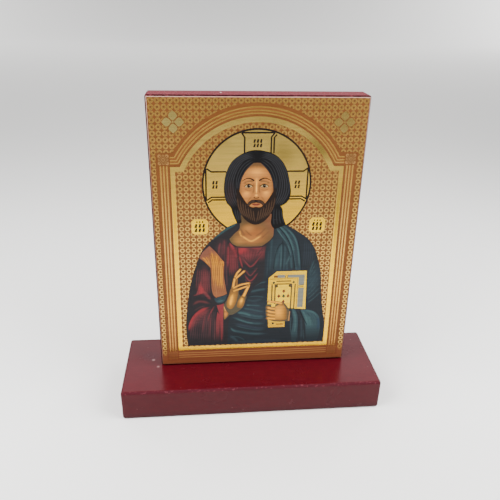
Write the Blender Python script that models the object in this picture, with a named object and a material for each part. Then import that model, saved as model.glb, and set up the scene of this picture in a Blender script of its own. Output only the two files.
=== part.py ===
"""A small devotional icon that stands on a table: a lacquered board with a printed gold sheet
on its front, glued upright on a lacquered base block.

Metres, +Z up. The origin is on the underside of the base block, at its middle. The picture faces -Y.
"""

import bmesh
import bpy

MM = 0.001

# Base block: a length of board with every edge eased.
BASE_LENGTH = 100.0 * MM
BASE_DEPTH = 35.0 * MM
BASE_HEIGHT = 12.4 * MM
BASE_EDGE_RADIUS = 1.0 * MM

# Panel board: it stands upright on the base block, a little behind its middle.
PANEL_WIDTH = 74.0 * MM
PANEL_HEIGHT = 105.3 * MM
PANEL_THICKNESS = 9.0 * MM
PANEL_EDGE_RADIUS = 0.8 * MM
PANEL_SETBACK = 9.6 * MM  # from the base block's back edge to the board's back face
PANEL_SHIFT = 1.3 * MM  # the board was glued on this far to the right of the middle

# Printed sheet: it lies on the board's front face, just short of the board's edges all round.
PRINT_MARGIN = 0.5 * MM
PRINT_THICKNESS = 0.5 * MM
PRINT_EDGE_RADIUS = 0.2 * MM

# The glue line under the board and behind the sheet.
GLUE_GAP = 0.3 * MM

# How many flats stand for each rounded edge.
WOOD_EDGE_SEGMENTS = 5
PRINT_EDGE_SEGMENTS = 3

# Finishes, as linear colour.
LACQUER_RED = (0.170, 0.020, 0.026, 1.0)
PRINTED_GOLD = (0.600, 0.330, 0.110, 1.0)


def principled(name, colour, roughness, metallic):
    """A plain Principled material."""
    material = bpy.data.materials.new(name)
    material.use_nodes = True
    shader = material.node_tree.nodes["Principled BSDF"]
    shader.inputs["Base Color"].default_value = colour
    shader.inputs["Roughness"].default_value = roughness
    shader.inputs["Metallic"].default_value = metallic
    material.diffuse_color = colour
    return material


def rounded_block(name, low, high, radius, segments, material):
    """A solid block between two corners, with all its edges rounded to one radius."""
    size = [h - l for l, h in zip(low, high)]
    shape = bmesh.new()
    bmesh.ops.create_cube(shape, size=1.0)
    bmesh.ops.scale(shape, vec=size, verts=shape.verts)
    mesh = bpy.data.meshes.new(name)
    shape.to_mesh(mesh)
    shape.free()
    mesh.materials.append(material)

    block = bpy.data.objects.new(name, mesh)
    block.location = [(l + h) / 2 for l, h in zip(low, high)]
    bpy.context.scene.collection.objects.link(block)

    rounding = block.modifiers.new("rounded edges", "BEVEL")
    rounding.width = radius
    rounding.segments = segments
    rounding.limit_method = "NONE"
    return block


def base_block(lacquer):
    """The block that the icon stands on, with its underside at z = 0."""
    low = (-BASE_LENGTH / 2, -BASE_DEPTH / 2, 0.0)
    high = (BASE_LENGTH / 2, BASE_DEPTH / 2, BASE_HEIGHT)
    return rounded_block("base_block", low, high, BASE_EDGE_RADIUS, WOOD_EDGE_SEGMENTS, lacquer)


def panel_corners():
    """The board's lowest and highest corners, worked out from the base block that it stands on."""
    back = BASE_DEPTH / 2 - PANEL_SETBACK
    foot = BASE_HEIGHT + GLUE_GAP
    low = (PANEL_SHIFT - PANEL_WIDTH / 2, back - PANEL_THICKNESS, foot)
    high = (PANEL_SHIFT + PANEL_WIDTH / 2, back, foot + PANEL_HEIGHT)
    return low, high


def panel_board(lacquer):
    """The upright board behind the picture."""
    low, high = panel_corners()
    return rounded_block("panel_board", low, high, PANEL_EDGE_RADIUS, WOOD_EDGE_SEGMENTS, lacquer)


def print_sheet(gold):
    """The printed sheet on the board's front face."""
    board_low, board_high = panel_corners()
    back = board_low[1] - GLUE_GAP
    low = (board_low[0] + PRINT_MARGIN, back - PRINT_THICKNESS, board_low[2] + PRINT_MARGIN)
    high = (board_high[0] - PRINT_MARGIN, back, board_high[2] - PRINT_MARGIN)
    return rounded_block("print_sheet", low, high, PRINT_EDGE_RADIUS, PRINT_EDGE_SEGMENTS, gold)


for old in list(bpy.data.objects):
    bpy.data.objects.remove(old)

red_lacquer = principled("red_lacquer", LACQUER_RED, 0.30, 0.0)
printed_gold = principled("printed_gold", PRINTED_GOLD, 0.35, 0.8)

base_block(red_lacquer)
panel_board(red_lacquer)
print_sheet(printed_gold)
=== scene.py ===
"""Looks for a small devotional icon: a lacquered board with a printed gold foil picture on its
front, standing on a lacquered base block."""

import math

import bmesh
import bpy
import numpy as np
from mathutils import Matrix, Vector, kdtree
from mathutils.geometry import delaunay_2d_cdt


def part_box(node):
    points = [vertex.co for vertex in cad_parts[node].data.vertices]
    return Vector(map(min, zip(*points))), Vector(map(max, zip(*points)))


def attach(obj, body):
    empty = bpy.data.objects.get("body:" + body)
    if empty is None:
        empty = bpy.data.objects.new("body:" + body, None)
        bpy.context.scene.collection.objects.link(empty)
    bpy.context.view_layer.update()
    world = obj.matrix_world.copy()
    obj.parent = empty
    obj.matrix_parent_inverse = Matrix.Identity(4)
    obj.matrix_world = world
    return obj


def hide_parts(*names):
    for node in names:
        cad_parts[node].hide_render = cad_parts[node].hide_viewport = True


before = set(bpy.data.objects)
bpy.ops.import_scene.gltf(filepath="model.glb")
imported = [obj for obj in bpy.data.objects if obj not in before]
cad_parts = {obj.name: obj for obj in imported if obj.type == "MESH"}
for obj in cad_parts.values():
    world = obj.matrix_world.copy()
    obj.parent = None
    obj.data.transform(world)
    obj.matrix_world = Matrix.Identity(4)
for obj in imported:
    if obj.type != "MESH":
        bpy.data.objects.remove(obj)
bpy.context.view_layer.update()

# Camera.
# It stands a hand's breadth in front of the icon, a little to its left, and looks down on it.
MM = 0.001
CAMERA_PLACE = Vector((-17.81, -172.88, 143.93)) * MM
CAMERA_TURN = math.radians(5.607)
CAMERA_TILT = math.radians(25.198)
CAMERA_ROLL = math.radians(1.192)
CAMERA_SENSOR = 36.0
CAMERA_LENS = 37.38

looking = Vector((
    math.sin(CAMERA_TURN) * math.cos(CAMERA_TILT),
    math.cos(CAMERA_TURN) * math.cos(CAMERA_TILT),
    -math.sin(CAMERA_TILT),
))
level_right = Vector((math.cos(CAMERA_TURN), -math.sin(CAMERA_TURN), 0.0))
level_up = level_right.cross(looking)
picture_right = math.cos(CAMERA_ROLL) * level_right + math.sin(CAMERA_ROLL) * level_up
picture_up = picture_right.cross(looking)

camera_data = bpy.data.cameras.new("camera")
camera_data.sensor_width = CAMERA_SENSOR
camera_data.lens = CAMERA_LENS
camera_data.clip_start = 10 * MM
camera = bpy.data.objects.new("camera", camera_data)
bpy.context.scene.collection.objects.link(camera)
camera_axes = Matrix((picture_right, picture_up, -looking)).transposed()
camera.matrix_world = Matrix.Translation(CAMERA_PLACE) @ camera_axes.to_4x4()
bpy.context.scene.camera = camera


# Floor and light.
# A roll of pale paper that turns up at its far end, under a dim white surround. Two soft lamps stand
# at the icon's sides, two more light the paper far behind it, and a wide dim one high behind it
# gives the lacquer its sheen. The foil mirrors the paper in front, brightest near the icon.
FLOOR_SIZE = 6.0
FLOOR_RISE = 0.30
FLOOR_RISE_FROM = 2.2
FLOOR_WHITE = "F4F3F1"
SURROUND_WHITE = "FFFFFF"
SURROUND_STRENGTH = 0.30
SIDE_LAMP_POWER = 3.3
FAR_LAMP_POWER = 55.0
SKY_LAMP_POWER = 32.0


def linear(colour):
    """A six-figure sRGB colour as linear red, green, blue and alpha."""
    channels = [int(colour[i:i + 2], 16) / 255 for i in (0, 2, 4)]
    return [c / 12.92 if c <= 0.04045 else ((c + 0.055) / 1.055) ** 2.4 for c in channels] + [1.0]


def feed(tree, node, inputs):
    """Give each named socket of a node a value, or link it to an output. A node in place of an
    output stands for its first output in use."""
    for socket, value in inputs.items():
        if isinstance(value, bpy.types.Node):
            value = next(output for output in value.outputs if output.enabled)
        if isinstance(value, bpy.types.NodeSocket):
            tree.links.new(value, node.inputs[socket])
        else:
            node.inputs[socket].default_value = value


def add_node(tree, kind, inputs, **settings):
    """Add a node with its settings, and feed it."""
    node = tree.nodes.new(kind)
    for name, value in settings.items():
        setattr(node, name, value)
    feed(tree, node, inputs)
    return node


def new_material(name):
    """A material with one Principled shader, and its node tree and shader."""
    material = bpy.data.materials.new(name)
    material.use_nodes = True
    return material, material.node_tree, material.node_tree.nodes["Principled BSDF"]


def finish_mesh(mesh, name, materials):
    """Turn a bmesh into an object of the scene, with its materials."""
    data = bpy.data.meshes.new(name)
    mesh.to_mesh(data)
    mesh.free()
    for material in materials:
        data.materials.append(material)
    piece = bpy.data.objects.new(name, data)
    bpy.context.scene.collection.objects.link(piece)
    return piece


floor_mesh = bmesh.new()
bmesh.ops.create_grid(floor_mesh, x_segments=2, y_segments=60, size=FLOOR_SIZE / 2)
for vert in floor_mesh.verts:
    past = max(0.0, vert.co.y - FLOOR_RISE_FROM) / (FLOOR_SIZE / 2 - FLOOR_RISE_FROM)
    vert.co.z = FLOOR_RISE * past * past
for face in floor_mesh.faces:
    face.smooth = True
floor_paper, floor_tree, floor_shader = new_material("floor_paper")
feed(floor_tree, floor_shader, {"Base Color": linear(FLOOR_WHITE), "Roughness": 0.9})
floor = finish_mesh(floor_mesh, "floor", [floor_paper])

surround = bpy.data.worlds.new("surround")
surround.use_nodes = True
feed(surround.node_tree, surround.node_tree.nodes["Background"],
     {"Color": linear(SURROUND_WHITE), "Strength": SURROUND_STRENGTH})
bpy.context.scene.world = surround


def soft_lamp(name, place, aim, width, height, power):
    """A flat lamp at place that points at aim, both in metres."""
    data = bpy.data.lights.new(name, "AREA")
    data.shape = "RECTANGLE"
    data.size = width
    data.size_y = height
    data.energy = power
    lamp = bpy.data.objects.new(name, data)
    bpy.context.scene.collection.objects.link(lamp)
    lamp.location = place
    lamp.rotation_euler = (Vector(place) - Vector(aim)).to_track_quat("Z", "Y").to_euler()


soft_lamp("lamp_left", (-0.27, -0.11, 0.27), (0.0, -0.03, 0.04), 0.28, 0.28, SIDE_LAMP_POWER)
soft_lamp("lamp_right", (0.27, -0.11, 0.27), (0.0, -0.03, 0.04), 0.28, 0.28, SIDE_LAMP_POWER)
soft_lamp("lamp_far_left", (-2.4, 2.2, 0.9), (0.0, 2.2, 0.0), 0.8, 0.8, FAR_LAMP_POWER)
soft_lamp("lamp_far_right", (2.4, 2.2, 0.9), (0.0, 2.2, 0.0), 0.8, 0.8, FAR_LAMP_POWER)
soft_lamp("lamp_sky", (0.0, 2.0, 1.6), (0.0, 0.0, 0.0), 3.2, 1.2, SKY_LAMP_POWER)


# Base block.
# A length of fibreboard with sanded edges, sprayed with a dark red lacquer. It is dusty, and its
# front edge is rubbed and has a few small chips.
BLOCK_EDGE = 1.0 * MM
BLOCK_EDGE_STEPS = 8
FLAT_SIDE = 60 * MM * MM  # larger faces are the block's flat sides, smaller ones its edges
TOUCHING = 0.02 * MM
LACQUER_DEEP = "38060E"
LACQUER_BRIGHT = "460811"
LACQUER_WORN = "5A2024"
LACQUER_CHIP = "7C3E46"
LACQUER_RUBBED = "47222A"
# The lighter colour for what faces up is painted top light with some dust, and the dark one below it is
# painted shade.
TOP_LIGHT_AND_DUST = "761C29"
LACQUER_SHADE = "20050A"
DUST = "8A6A68"
SHEEN = "FFDADC"
GLOSS_LEVEL = 0.185
TOP_GLOSS_LEVEL = 0.05
EDGE_GLOSS_LEVEL = 0.03


def rounded_block(low, high, radius):
    """A block between two corners, with every edge rounded."""
    mesh = bmesh.new()
    bmesh.ops.create_cube(mesh, size=1.0)
    bmesh.ops.scale(mesh, verts=mesh.verts, vec=high - low)
    bmesh.ops.translate(mesh, verts=mesh.verts, vec=(low + high) / 2)
    bmesh.ops.bevel(
        mesh, geom=mesh.edges[:], offset=radius, offset_type="OFFSET", affect="EDGES",
        segments=BLOCK_EDGE_STEPS, profile=0.5, material=-1,
    )
    for face in mesh.faces:
        face.smooth = face.calc_area() < FLAT_SIDE
    return mesh


def layered(tree, ground, layers):
    """Colours laid over a ground one after another. Each layer is its share and its colour. A Mix
    node's sockets 2 and 3 take numbers, and its sockets 6 and 7 take colours."""
    colour = ground
    for share, over in layers:
        colour = add_node(
            tree, "ShaderNodeMix", {"Factor": share, 6: colour, 7: linear(over)}, data_type="RGBA")
    return colour


# The real sizes of the lacquer's patterns: cloudy patches, scratches, chips, how far apart the dust
# specks lie, wiped places, and the ripples of orange peel.
MOTTLE = 2.222 * MM
SCRATCH = 0.8333 * MM
CHIP = 1.0 * MM
SPECK_SPACING = 5.0 * MM
SMEAR = 11.11 * MM
PEEL = 1.4286 * MM
PEEL_HEIGHT = 0.05 * MM
# How high the painted shade at the foot reaches.
FOOT_SHADE_HEIGHT = 3.0 * MM
# Chips reach this far from the edge, and are thickest from here on.
CHIP_REACH = 1.1 * MM
CHIP_FULL = 0.3 * MM


def lacquer(name, low, high, streak_direction, top_light_share, front_shade_share, rubbed_share, spots):
    """Sprayed lacquer on fibreboard between two corners, in metres: glossy, faintly mottled, with an
    orange-peel skin. Its rounded edges are dull and the upper front one is chipped. Dust specks lie
    on it. What faces up is painted lighter, as painted top light with some dust, and what faces
    forward and the foot are darkened with painted shade. Each spot is a place, a radius, a colour
    and a strength."""
    material, tree, shader = new_material(name)
    place = add_node(tree, "ShaderNodeTexCoord", {}).outputs["Object"]
    parts = add_node(tree, "ShaderNodeSeparateXYZ", {"Vector": place})
    normal = add_node(tree, "ShaderNodeNewGeometry", {}).outputs["Normal"]
    facing = add_node(tree, "ShaderNodeSeparateXYZ", {"Vector": normal})
    mottle = add_node(
        tree, "ShaderNodeTexNoise", {"Vector": place, "Scale": 1 / MOTTLE, "Detail": 4.0})

    # Fine scratches and wipe marks that run along the board.
    stretched = add_node(tree, "ShaderNodeMapping", {"Vector": place, "Scale": streak_direction})
    streaks = add_node(
        tree, "ShaderNodeTexNoise",
        {"Vector": stretched, "Scale": 1 / SCRATCH, "Detail": 3.0, "Roughness": 0.6})
    scratched = add_node(
        tree, "ShaderNodeMapRange",
        {"Value": streaks, "From Min": 0.52, "From Max": 0.72, "To Max": 0.14})

    # A lighter film on what faces up, which is painted top light with some dust, painted shade on what
    #     # faces forward, and painted shade at the foot.
    top_light_and_dust = add_node(
        tree, "ShaderNodeMapRange",
        {"Value": facing.outputs["Z"], "From Min": 0.9, "From Max": 1.0, "To Max": top_light_share})
    # Painted shade: what faces forward is darkened.
    painted_shade = add_node(
        tree, "ShaderNodeMapRange",
        {"Value": facing.outputs["Y"], "From Min": -0.15, "From Max": -0.6, "To Max": front_shade_share})
    # Painted shade: darker towards the foot.
    foot_shade = add_node(
        tree, "ShaderNodeMapRange",
        {"Value": parts.outputs["Z"], "From Min": low.z + FOOT_SHADE_HEIGHT, "From Max": low.z,
         "To Max": 0.6})

    # The rounded edges are rubbed, most where they face halfway between two sides.
    steepness = add_node(tree, "ShaderNodeVectorMath", {0: normal}, operation="ABSOLUTE")
    steep = add_node(tree, "ShaderNodeSeparateXYZ", {"Vector": steepness})
    squarest = add_node(
        tree, "ShaderNodeMath", {0: steep.outputs["X"], 1: steep.outputs["Y"]}, operation="MAXIMUM")
    squarest = add_node(
        tree, "ShaderNodeMath", {0: squarest, 1: steep.outputs["Z"]}, operation="MAXIMUM")
    on_edge = add_node(
        tree, "ShaderNodeMapRange", {"Value": squarest, "From Min": 0.995, "From Max": 0.93})
    rubbed = add_node(tree, "ShaderNodeMath", {0: on_edge, 1: rubbed_share}, operation="MULTIPLY")

    # Chips along the upper front edge: the nearer to it, the more of the noise shows through.
    away_y = add_node(tree, "ShaderNodeMath", {0: parts.outputs["Y"], 1: low.y}, operation="SUBTRACT")
    away_z = add_node(tree, "ShaderNodeMath", {0: parts.outputs["Z"], 1: high.z}, operation="SUBTRACT")
    away = add_node(tree, "ShaderNodeCombineXYZ", {"X": away_y, "Y": away_z})
    distance = add_node(tree, "ShaderNodeVectorMath", {0: away}, operation="LENGTH")
    nearness = add_node(
        tree, "ShaderNodeMapRange",
        {"Value": distance, "From Min": CHIP_REACH, "From Max": CHIP_FULL})
    chips = add_node(tree, "ShaderNodeTexNoise", {"Vector": place, "Scale": 1 / CHIP, "Detail": 2.0})
    chip_strength = add_node(
        tree, "ShaderNodeMapRange",
        {"Value": chips, "From Min": 0.58, "From Max": 0.68, "To Max": 0.7})
    chipped = add_node(tree, "ShaderNodeMath", {0: nearness, 1: chip_strength}, operation="MULTIPLY")

    # Dust: single pale specks, a quarter of a millimetre across.
    specks = add_node(tree, "ShaderNodeTexVoronoi", {"Vector": place, "Scale": 1 / SPECK_SPACING})
    dusty = add_node(
        tree, "ShaderNodeMapRange",
        {"Value": specks, "From Min": 0.045, "From Max": 0.015, "To Max": 0.5})
    layers = [
        (mottle, LACQUER_BRIGHT), (scratched, LACQUER_WORN), (top_light_and_dust, TOP_LIGHT_AND_DUST), (painted_shade, LACQUER_SHADE),
        (foot_shade, LACQUER_SHADE), (rubbed, LACQUER_RUBBED), (chipped, LACQUER_CHIP), (dusty, DUST),
    ]
    flat = add_node(tree, "ShaderNodeMapping", {"Vector": place, "Scale": (1.0, 1.0, 0.0)})
    for spot_x, spot_y, spot_radius, spot_colour, spot_strength in spots:
        off_spot = add_node(
            tree, "ShaderNodeVectorMath", {0: flat, 1: (spot_x * MM, spot_y * MM, 0.0)},
            operation="DISTANCE")
        spot = add_node(
            tree, "ShaderNodeMapRange",
            {"Value": off_spot, "From Min": spot_radius * MM, "From Max": 0.4 * spot_radius * MM,
             "To Max": spot_strength})
        layers.append((spot, spot_colour))

    # Gloss is uneven: wiped and handled places are duller, and the sanded edges are nearly matt.
    smears = add_node(tree, "ShaderNodeTexNoise", {"Vector": place, "Scale": 1 / SMEAR, "Detail": 5.0})
    gloss = add_node(
        tree, "ShaderNodeMapRange",
        {"Value": smears, "From Min": 0.3, "From Max": 0.7, "To Min": 0.18, "To Max": 0.30})
    roughness = add_node(tree, "ShaderNodeMix", {"Factor": on_edge, 2: gloss, 3: 0.5})
    gloss_level = add_node(
        tree, "ShaderNodeMix", {"Factor": top_light_and_dust, 2: GLOSS_LEVEL, 3: TOP_GLOSS_LEVEL})
    gloss_level = add_node(
        tree, "ShaderNodeMix", {"Factor": on_edge, 2: gloss_level, 3: EDGE_GLOSS_LEVEL})
    peel = add_node(tree, "ShaderNodeTexNoise", {"Vector": place, "Scale": 1 / PEEL, "Detail": 2.0})
    skin = add_node(
        tree, "ShaderNodeBump", {"Height": peel, "Strength": 0.10, "Distance": PEEL_HEIGHT})
    feed(tree, shader, {
        "Base Color": layered(tree, linear(LACQUER_DEEP), layers), "Roughness": roughness,
        "Specular IOR Level": gloss_level, "Specular Tint": linear(SHEEN), "Normal": skin,
    })
    return material


# Two drops of glue and a smudge beside the board's left foot, in millimetres.
BASE_SPOTS = (
    (-40.4, 5.0, 4.2, "3E1A20", 0.42),
    (-39.2, 2.3, 0.8, "B08A88", 0.5),
    (-37.0, -2.2, 0.7, "A07874", 0.42),
)
block_low, block_high = (Vector(corner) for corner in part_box("base_block"))
# Painted light: a faintly lighter top, and painted shade on the front and at the foot.
base_lacquer = lacquer(
    "red_lacquer_base", block_low, block_high, streak_direction=(0.15, 1.0, 1.0),
    top_light_share=0.04, front_shade_share=0.25, rubbed_share=0.45, spots=BASE_SPOTS,
)
base_mesh = rounded_block(block_low, block_high, BLOCK_EDGE)
base_piece = finish_mesh(base_mesh, "lacquered_base", [base_lacquer])
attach(base_piece, "root")
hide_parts("base_block")


# Panel board.
# A thinner fibreboard panel with the same sprayed lacquer, glued upright on the base block. Its
# foot meets the block, and its front meets the back of the printed sheet. Its top is painted
# lighter, as painted top light with a little dust, and its front darker with painted shade.
BOARD_EDGE = 0.8 * MM
# Two pale chips and a faint smudge on its top, in millimetres.
BOARD_SPOTS = (
    (-11.2, 3.0, 0.4, "F0DCD8", 1.0),
    (-11.2, 3.9, 0.4, "F0DCD8", 0.8),
    (30.0, 5.0, 0.8, "8A4A52", 0.4),
)

board_low, board_high = (Vector(corner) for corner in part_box("panel_board"))
sheet_low, sheet_high = (Vector(corner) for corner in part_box("print_sheet"))
board_low.z = block_high.z + TOUCHING
board_low.y = sheet_high.y + TOUCHING
# Painted light: a much lighter top, and painted shade on the front and at the foot.
board_lacquer = lacquer(
    "red_lacquer_board", board_low, board_high, streak_direction=(0.10, 1.0, 1.0),
    top_light_share=0.75, front_shade_share=0.85, rubbed_share=0.1, spots=BOARD_SPOTS,
)
board_mesh = rounded_block(board_low, board_high, BOARD_EDGE)
board_piece = finish_mesh(board_mesh, "lacquered_board", [board_lacquer])
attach(board_piece, "root")
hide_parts("panel_board")


# Printed sheet: how it is drawn.
# Gold foil on card, printed with translucent and opaque inks and cut with a pale edge. The picture
# is one flat face: areas are laid over each other, then the face is cut along their outlines and
# each corner of each small face takes the ink of the topmost area.
PICTURE_WIDTH = 73.0
PICTURE_HEIGHT = 104.0
SIDE = PICTURE_WIDTH / 2
ROUND = 1.0215  # the picture was stretched this much upwards to fill the sheet
GOLD = "E5B010"
# Painted reflections in the gold: a yellower gold towards the top, and a darker one for patches.
GOLD_REFLECTED_UPPER = "FFD76F"
GOLD_DARK_REFLECTION = "A98F45"
# How much of the foil shines through bare, lined, brown and body ink.
FOIL = 0.95
LINE_INK = 0.85
THIN_INK = 0.15
BODY_INK = 0.0

areas = []


def area(outline, colour, foil=FOIL, rings=0.0, shades=()):
    """Lay an area of ink over the picture so far. Places are millimetres from the middle of the
    sheet's lower edge. foil is the share of foil that shows, and rings that of the ring pattern."""
    areas.append((outline, np.array(linear(colour)[:3]), foil, rings, shades))


def paint(outline, colour, *shades):
    """Lay opaque ink over the picture so far, with soft shades on it."""
    area(outline, colour, BODY_INK, shades=shades)


def curve(points, closed=True, steps=5):
    """A smooth line through the points. A point given twice is a corner."""
    count = len(points)
    line = []
    for i in range(count if closed else count - 1):
        near = [points[(i + k) % count if closed else min(max(i + k, 0), count - 1)]
                for k in (-1, 0, 1, 2)]
        p0, p1, p2, p3 = (Vector(p) for p in near)
        for step in range(steps):
            t = step / steps
            spot = 0.5 * (2 * p1 + (p2 - p0) * t + (2 * p0 - 5 * p1 + 4 * p2 - p3) * t ** 2
                          + (3 * p1 - p0 - 3 * p2 + p3) * t ** 3)
            if not line or (spot - line[-1]).length > 0.02:
                line.append(spot)
    if not closed:
        line.append(Vector(points[-1]))
    return line


def cornered(points):
    """A closed outline with straight sides."""
    return curve([point for point in points for _ in range(2)])


def arc(centre, radius, start, end, steps=48):
    """Part of a round line, stretched upwards as the picture is. Angles are in degrees."""
    return [
        Vector((centre[0] + radius * math.cos(angle), centre[1] + radius * ROUND * math.sin(angle)))
        for angle in np.radians(np.linspace(start, end, steps + 1))
    ]


def disc(centre, radius, steps=24):
    """The outline of a round spot."""
    return arc(centre, radius, 0, 360 - 360 / steps, steps - 1)


def box(left, bottom, right, top):
    """The outline of a rectangle."""
    return [Vector(p) for p in ((left, bottom), (right, bottom), (right, top), (left, top))]


def band(path, width, end_width=None):
    """The outline of a line of ink along path, which may narrow to end_width."""
    path = [Vector(p) for p in path]
    end_width = width if end_width is None else end_width
    left = []
    right = []
    for i, spot in enumerate(path):
        along = (path[min(i + 1, len(path) - 1)] - path[max(i - 1, 0)]).normalized()
        half = 0.5 * (width + (end_width - width) * i / (len(path) - 1))
        side = Vector((-along.y, along.x)) * half
        left.append(spot + side)
        right.append(spot - side)
    return left + right[::-1]


def rounded_band(path, width, end_width=None):
    """A band with round ends, such as a finger."""
    end_width = width if end_width is None else end_width
    path = [Vector(p) for p in path]
    start_way = (path[1] - path[0]).normalized()
    end_way = (path[-1] - path[-2]).normalized()
    sides = band(path, width, end_width)
    count = len(path)
    start_cap = []
    end_cap = []
    for angle in np.radians((45, 90, 135)):
        turned = Matrix.Rotation(math.pi / 2 - angle, 2) @ end_way
        end_cap.append(path[-1] + turned * end_width / 2)
        turned = Matrix.Rotation(math.pi / 2 - angle, 2) @ (-start_way)
        start_cap.append(path[0] + turned * width / 2)
    return sides[:count] + end_cap + sides[count:] + start_cap


def ease(amount):
    """A smooth step from 0 to 1."""
    amount = np.clip(amount, 0.0, 1.0)
    return amount * amount * (3 - 2 * amount)


def fold(path, width, colour, strength=1.0, ends=0.25):
    """A soft brush stroke along path that fades at its sides and towards its ends."""
    line = np.array(curve(path, closed=False, steps=4))

    def weight(points):
        amount = np.zeros(len(points))
        near = np.all((points > line.min(0) - width) & (points < line.max(0) + width), axis=1)
        touched = points[near]
        nearest = np.full(len(touched), 1e9)
        along = np.zeros(len(touched))
        for i, (start, end) in enumerate(zip(line[:-1], line[1:])):
            step = end - start
            share = np.clip(((touched - start) @ step) / (step @ step), 0.0, 1.0)
            away = np.hypot(*(touched - start - share[:, None] * step).T)
            closer = away < nearest
            nearest[closer] = away[closer]
            along[closer] = ((i + share) / (len(line) - 1))[closer]
        taper = ease(np.minimum(along, 1 - along) / max(ends, 1e-6)) * 0.8 + 0.2
        amount[near] = strength * ease(1 - nearest / (width * taper)) * taper
        return amount

    return np.array(linear(colour)[:3]), weight


def pleats(first, last, count, width, colour, strength=1.0, ends=0.25):
    """Thin brush strokes spread evenly from a first path to a last one."""
    strokes = []
    for k in range(count):
        share = k / (count - 1)
        path = [Vector(a).lerp(Vector(b), share) for a, b in zip(first, last)]
        strokes.append(fold(path, width, colour, strength, ends))
    return strokes


def glow(centre, radius_u, radius_v, colour, strength=1.0, turn=0.0):
    """A soft round patch. Its radii are turned by an angle in degrees."""
    cosine = math.cos(math.radians(turn))
    sine = math.sin(math.radians(turn))

    def weight(points):
        u, v = (points - centre).T
        across = (u * cosine + v * sine) / radius_u
        up = (v * cosine - u * sine) / radius_v
        return strength * ease(1 - np.hypot(across, up))

    return np.array(linear(colour)[:3]), weight


def wash(start, end, colour, strength=1.0):
    """A colour that grows from nothing at start to its strength at end, and stays so beyond."""
    start = np.array(start)
    way = np.array(end) - start

    def weight(points):
        return strength * ease(((points - start) @ way) / (way @ way))

    return np.array(linear(colour)[:3]), weight


# Printed sheet: the ground and its rings.
# A repeat of small gold rings on brown fills the sheet; the shader draws the rings.
RUST = "623A1A"
FOOT_RUST = "6F3D25"
area(box(-SIDE, 0, SIDE, PICTURE_HEIGHT), RUST, THIN_INK, rings=1)
# Painted reflection of the red base: near the foot the ground is redder, with fainter rings and then
# none.
area(box(-SIDE, 0, SIDE, 7), FOOT_RUST, THIN_INK, rings=0.6)
area(box(-SIDE, 0, SIDE, 4.2), FOOT_RUST, THIN_INK)

# Printed sheet: arch, columns and border.
# Plain gold bands and thin gold lines on brown frame an opening with a round head. Near the foot
# the brown is painted redder, as painted reflection of the red base.
AXIS = -0.1
ARCH_CENTRE = (-0.25, 67.85)
BROWN = "6A3F1C"
FOOT_BROWN = "693822"
LINE_GOLD = "CCA04E"
LINE_WIDTH = 0.46

# Painted reflections: the gold is painted lighter and yellower towards its top, and darker in broad
# patches.
gold_reflection_shades = [
    wash((0, 56), (0, 92), GOLD_REFLECTED_UPPER),
    glow((20, 86.5), 8, 9, GOLD_DARK_REFLECTION, 0.9),
    glow((-22, 84), 5, 6, GOLD_DARK_REFLECTION, 0.35),
    glow((8.5, 85), 8, 7, GOLD_DARK_REFLECTION, 0.6),
    glow((29.5, 62), 7, 28, "B08A20", 0.6),
]
# Painted reflection of the red base: the brown is redder near the foot.
base_reflection_shades = [wash((0, 9.5), (0, 3.5), FOOT_BROWN)]
# Painted reflection of the red base: the gold lines darken towards the foot.
line_reflection_shades = [wash((0, 56), (0, 30), "BC8A38"), wash((0, 30), (0, 6), "A07038")]


def arch_spring(radius, height):
    """How far from the arch's middle its round line is at a height, and the angle there."""
    rise = (height - ARCH_CENTRE[1]) / ROUND
    reach = math.sqrt(radius ** 2 - rise ** 2)
    return reach, math.degrees(math.atan2(rise, reach))


def arch_line(radius, height, out):
    """A line that runs in level at a height, over the arch, and out again."""
    reach, angle = arch_spring(radius, height)
    left_in = Vector((AXIS - out, height))
    right_in = Vector((AXIS + out, height))
    return [left_in] + arc(ARCH_CENTRE, radius, 180 - angle, angle) + [right_in]


# The ground inside the arch is painted redder near the foot, as painted reflection of the red base.
area(
    [Vector((AXIS - 34.45, 1.75))] + arch_line(33.67, 85.9, 34.45) + [Vector((AXIS + 34.45, 1.75))],
    RUST, THIN_INK, shades=base_reflection_shades,
)
area(band(arch_line(31.25, 83.2, 29.7), 2.5), BROWN, THIN_INK)
for line_radius, line_height in ((32.3, 84.25), (31.23, 83.2), (30.3, 82.25)):
    area(band(arch_line(line_radius, line_height, 29.7), LINE_WIDTH), LINE_GOLD, LINE_INK)
# The gold band carries the painted reflections.
area(
    [Vector((AXIS - 29.75, 6.55))] + arch_line(29.32, 81, 29.75) + [Vector((AXIS + 29.75, 6.55))],
    GOLD, shades=gold_reflection_shades,
)
area(
    [Vector((AXIS - 28.2, 8.1))] + arch_line(27.56, 79.4, 28.2) + [Vector((AXIS + 28.2, 8.1))],
    RUST, THIN_INK, rings=1.0,
)


def rosette(middle, petals, gaps):
    """A square rosette: a scalloped square with rays cut into it around a small ring."""
    scallops = []
    for corner in range(4):
        turn = math.radians(45 + 90 * corner)
        for spread, reach in ((-0.16, 2.35), (0.16, 2.35), (0.62, 1.62), (0.785, 1.78), (0.95, 1.62)):
            scallops.append(Vector((
                middle[0] + reach * math.cos(turn + spread),
                middle[1] + reach * math.sin(turn + spread),
            )))
    area(scallops, petals, 0.6)
    for ray in range(16):
        turn = math.radians(22.5 * ray)
        way = Vector((math.cos(turn), math.sin(turn)))
        reach = 1.5 if ray % 4 == 0 else 1.75
        area(band((Vector(middle) + 0.85 * way, Vector(middle) + reach * way), 0.2, 0.42), gaps, THIN_INK)
    for ring_radius, ring_ink in ((0.86, gaps), (0.64, petals), (0.4, gaps), (0.18, petals)):
        area(disc(middle, ring_radius, 12), ring_ink, 0.6 if ring_ink == petals else THIN_INK)


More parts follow.
